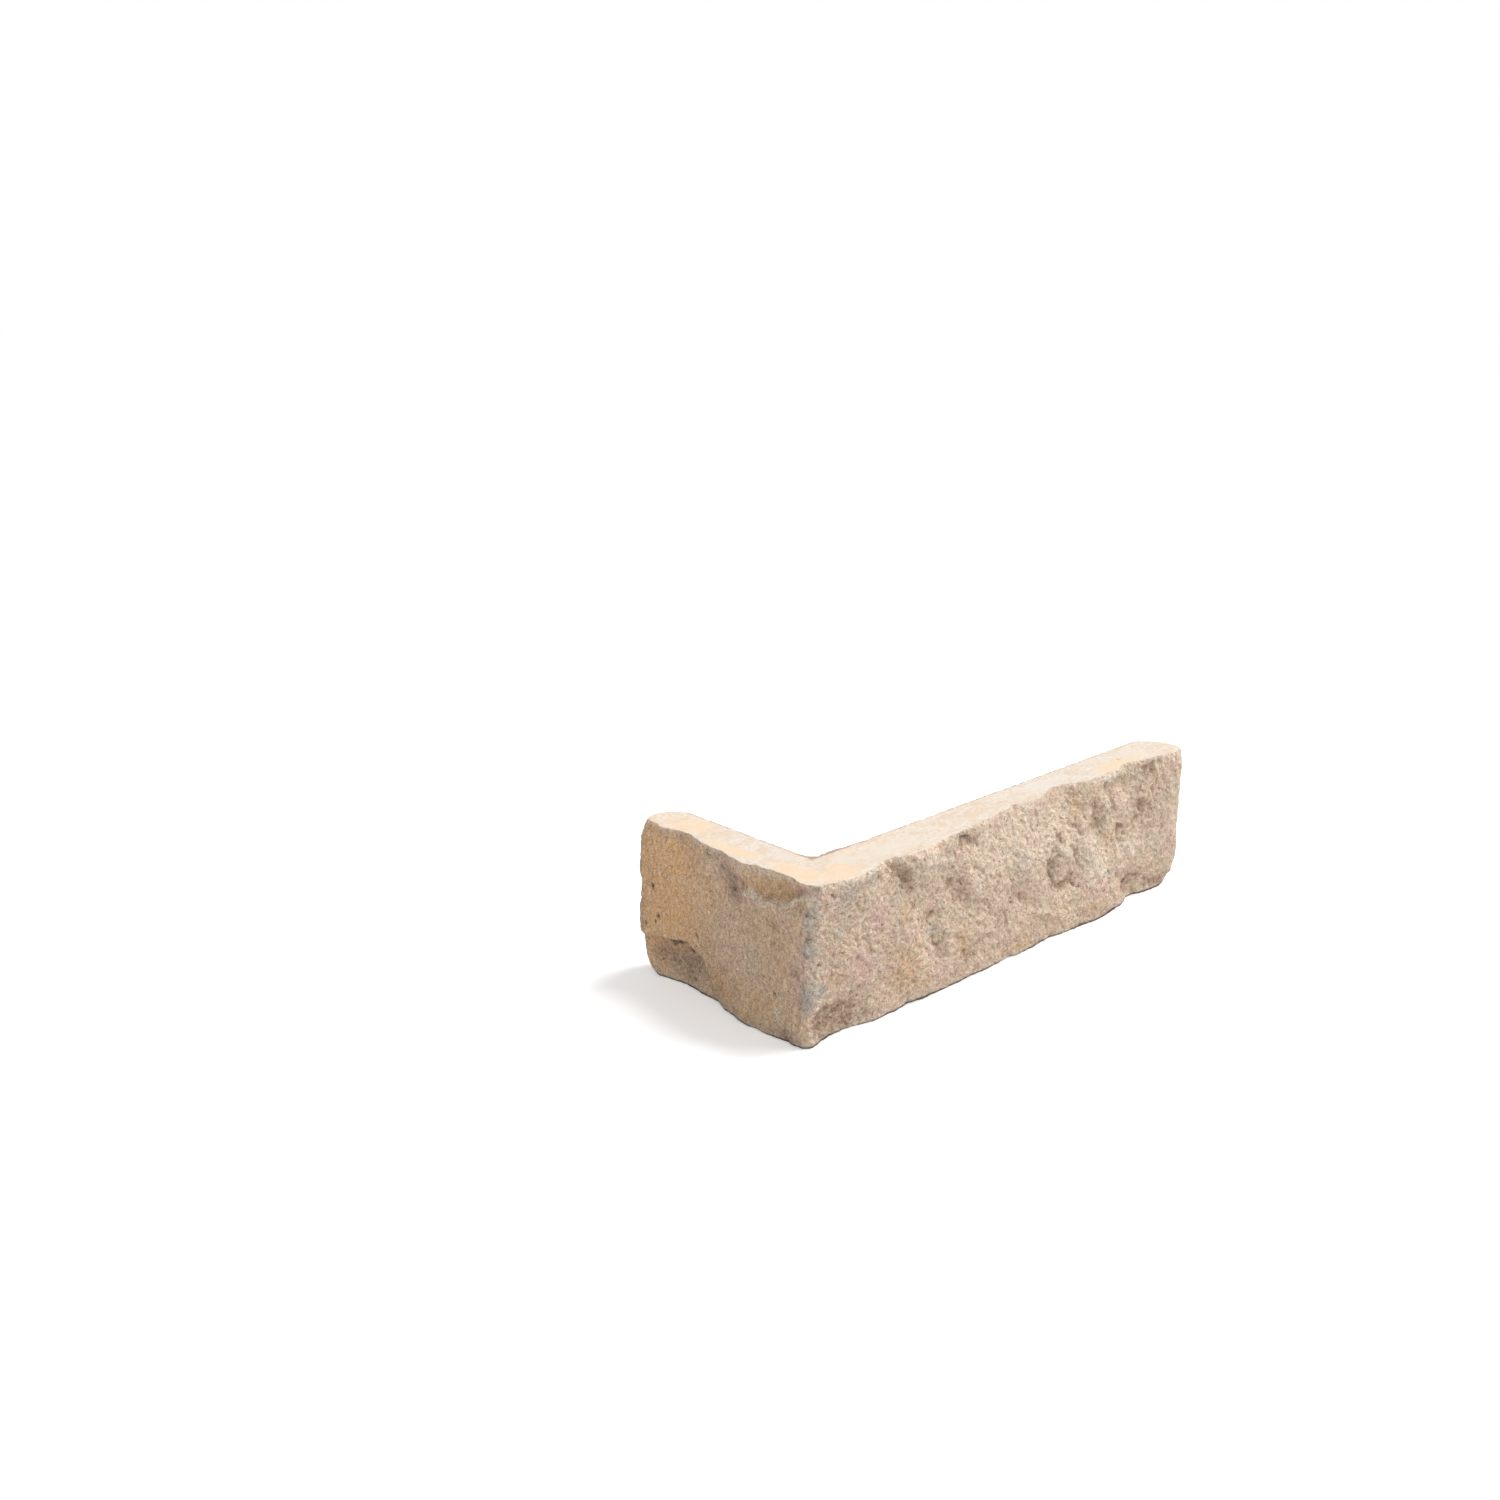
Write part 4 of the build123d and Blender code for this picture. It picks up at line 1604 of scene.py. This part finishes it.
    def dress(self) -> None:
        """Gives the hewn faces, the bed with the top, and the backs a finish each."""
        mesh = self.piece.data
        mesh.materials.clear()
        for finish in (PigmentedFinish(), BareFinish(self.high[2]), screeded(self.high[2])):
            mesh.materials.append(finish.material())
        flat = self.from_flats(rows(mesh.polygons, "center") / MM) < self.flat_gap
        is_back = np.abs(rows(mesh.polygons, "normal")[:, 2]) < self.upright
        mesh.polygons.foreach_set("material_index", (flat * (1 + is_back)).astype(np.int32))
        mesh.polygons.foreach_set("use_smooth", ~flat)
        mesh.update()


# The studio


def grey(value: float) -> Colour:
    """A grey of that linear value."""
    return (value, value, value, 1.0)


def seen(tree: Tree) -> Socket:
    """1 where the camera sees a surface, also by a reflection or through glass, and 0 for all other light.

    Args:
        tree: the material's tree.

    Returns:
        The value's socket.
    """
    rays = place(tree, "ShaderNodeLightPath").outputs
    direct = reckon(tree, "MAXIMUM", rays["Is Camera Ray"], rays["Is Glossy Ray"])
    return reckon(tree, "MAXIMUM", direct, rays["Is Transmission Ray"])


@dataclass(frozen=True)
class Lamp:
    """A distant soft lamp.

    source says where its light comes from, as parts to the camera's right, ahead of it and up. spread is how
    wide the lamp looks from the stone, in degrees.
    """

    name: str
    source: tuple[float, float, float]
    strength: float
    spread: float

    def hang(self, ahead: Vector, right: Vector) -> None:
        """Adds the lamp.

        Args:
            ahead: the level direction that the camera looks in.
            right: the direction to its right.
        """
        towards = right * self.source[0] + ahead * self.source[1] + Vector((0.0, 0.0, self.source[2]))
        light = bpy.data.lights.new(self.name, "SUN")
        light.energy = self.strength
        light.angle = radians(self.spread)
        holder = bpy.data.objects.new(self.name, light)
        holder.rotation_euler = towards.to_track_quat("Z", "Y").to_euler()
        bpy.context.scene.collection.objects.link(holder)


@dataclass(frozen=True)
class Studio:
    """The pale floor, the soft light and the camera at the photograph's viewing angle.

    focal and sensor are the lens's own, tilt and turn are in degrees, and the floor's values say how white it
    shows, how much light it sends back to the stone, and how much it glows by itself.
    """

    focal: float = 35.87
    sensor: float = 36.0
    nearest: float = 10.0
    farthest: float = 100000.0
    tilt: float = 17.62
    turn: float = -43.49
    eye_height: float = 393.3
    ahead: float = 745.8
    aside: float = 33.5
    floor_gap: float = 0.1
    floor_size: float = 12000.0
    sky: float = 0.45
    floor_seen: float = 0.9
    floor_felt: float = 0.6
    floor_lift: float = 0.25
    lamps: tuple[Lamp, ...] = (
        Lamp("key lamp", (0.40, 0.22, 0.89), strength=2.05, spread=22.0),
        Lamp("side lamp", (0.76, 0.04, 0.62), strength=1.35, spread=28.0),
        Lamp("fill lamp", (0.06, -0.91, 0.40), strength=1.16, spread=60.0),
    )

    def heading(self) -> tuple[Vector, Vector]:
        """The level directions ahead of the camera and to its right."""
        turn = radians(self.turn)
        return Vector((-sin(turn), cos(turn), 0.0)), Vector((cos(turn), sin(turn), 0.0))

    def build(self) -> None:
        """Makes the camera, the lamps, the world and the floor."""
        self.aim_camera()
        for lamp in self.lamps:
            lamp.hang(*self.heading())
        self.surround()
        self.lay_floor()

    def aim_camera(self) -> None:
        """Places the camera where the photograph was taken from."""
        ahead, right = self.heading()
        lens = bpy.data.cameras.new("camera")
        lens.lens = self.focal
        lens.sensor_width = self.sensor
        lens.clip_start = self.nearest * MM
        lens.clip_end = self.farthest * MM
        camera = bpy.data.objects.new("camera", lens)
        camera.location = (-ahead * self.ahead - right * self.aside) * MM
        camera.location.z = self.eye_height * MM
        camera.rotation_euler = (radians(90.0 - self.tilt), 0.0, radians(self.turn))
        bpy.context.scene.collection.objects.link(camera)
        bpy.context.scene.camera = camera
        log.info("camera: %s", tuple(round(value, 4) for value in camera.location))

    def surround(self) -> None:
        """A soft even sky, which shows as white."""
        world = bpy.data.worlds.new("studio")
        world.use_nodes = True
        tree = world.node_tree
        tree.nodes.clear()
        soft, white = (
            place(tree, "ShaderNodeBackground", {"Color": grey(1.0), "Strength": strength}).outputs[0]
            for strength in (self.sky, 1.0)
        )
        mixed = place(tree, "ShaderNodeMixShader", {0: seen(tree), 1: soft, 2: white}).outputs[0]
        place(tree, "ShaderNodeOutputWorld", {"Surface": mixed})
        bpy.context.scene.world = world

    def floor_finish(self) -> bpy.types.Material:
        """The floor's white, a little brighter to the camera than to the stone.

        Returns:
            The material.
        """
        material = bpy.data.materials.new("white floor")
        material.use_nodes = True
        tree = material.node_tree
        tree.nodes.clear()
        shown = seen(tree)
        colour = blended(tree, shown, grey(self.floor_felt), grey(self.floor_seen))
        matt = place(tree, "ShaderNodeBsdfDiffuse", {"Color": colour}).outputs[0]
        glow = times(tree, shown, self.floor_lift)
        lift = place(tree, "ShaderNodeEmission", {"Strength": glow}).outputs[0]
        both = place(tree, "ShaderNodeAddShader", {0: matt, 1: lift}).outputs[0]
        place(tree, "ShaderNodeOutputMaterial", {"Surface": both})
        return material

    def lay_floor(self) -> None:
        """A wide white floor, just clear of the bed, that keeps the stone's shadow."""
        half = self.floor_size / 2 * MM
        down = -self.floor_gap * MM
        corners = [(-half, -half, down), (half, -half, down), (half, half, down), (-half, half, down)]
        mesh = bpy.data.meshes.new("floor")
        mesh.from_pydata(corners, [], [(0, 1, 2, 3)])
        mesh.materials.append(self.floor_finish())
        floor = bpy.data.objects.new("floor", mesh)
        bpy.context.scene.collection.objects.link(floor)
        log.info("floor: %.1f m wide", self.floor_size * MM)


def main() -> None:
    """Builds the studio and the stone."""
    logging.basicConfig(level=logging.INFO, format="%(name)s: %(message)s")
    bpy.context.scene.view_settings.view_transform = "Standard"
    Studio().build()
    CornerStone().build()


if __name__ == "__main__":
    main()
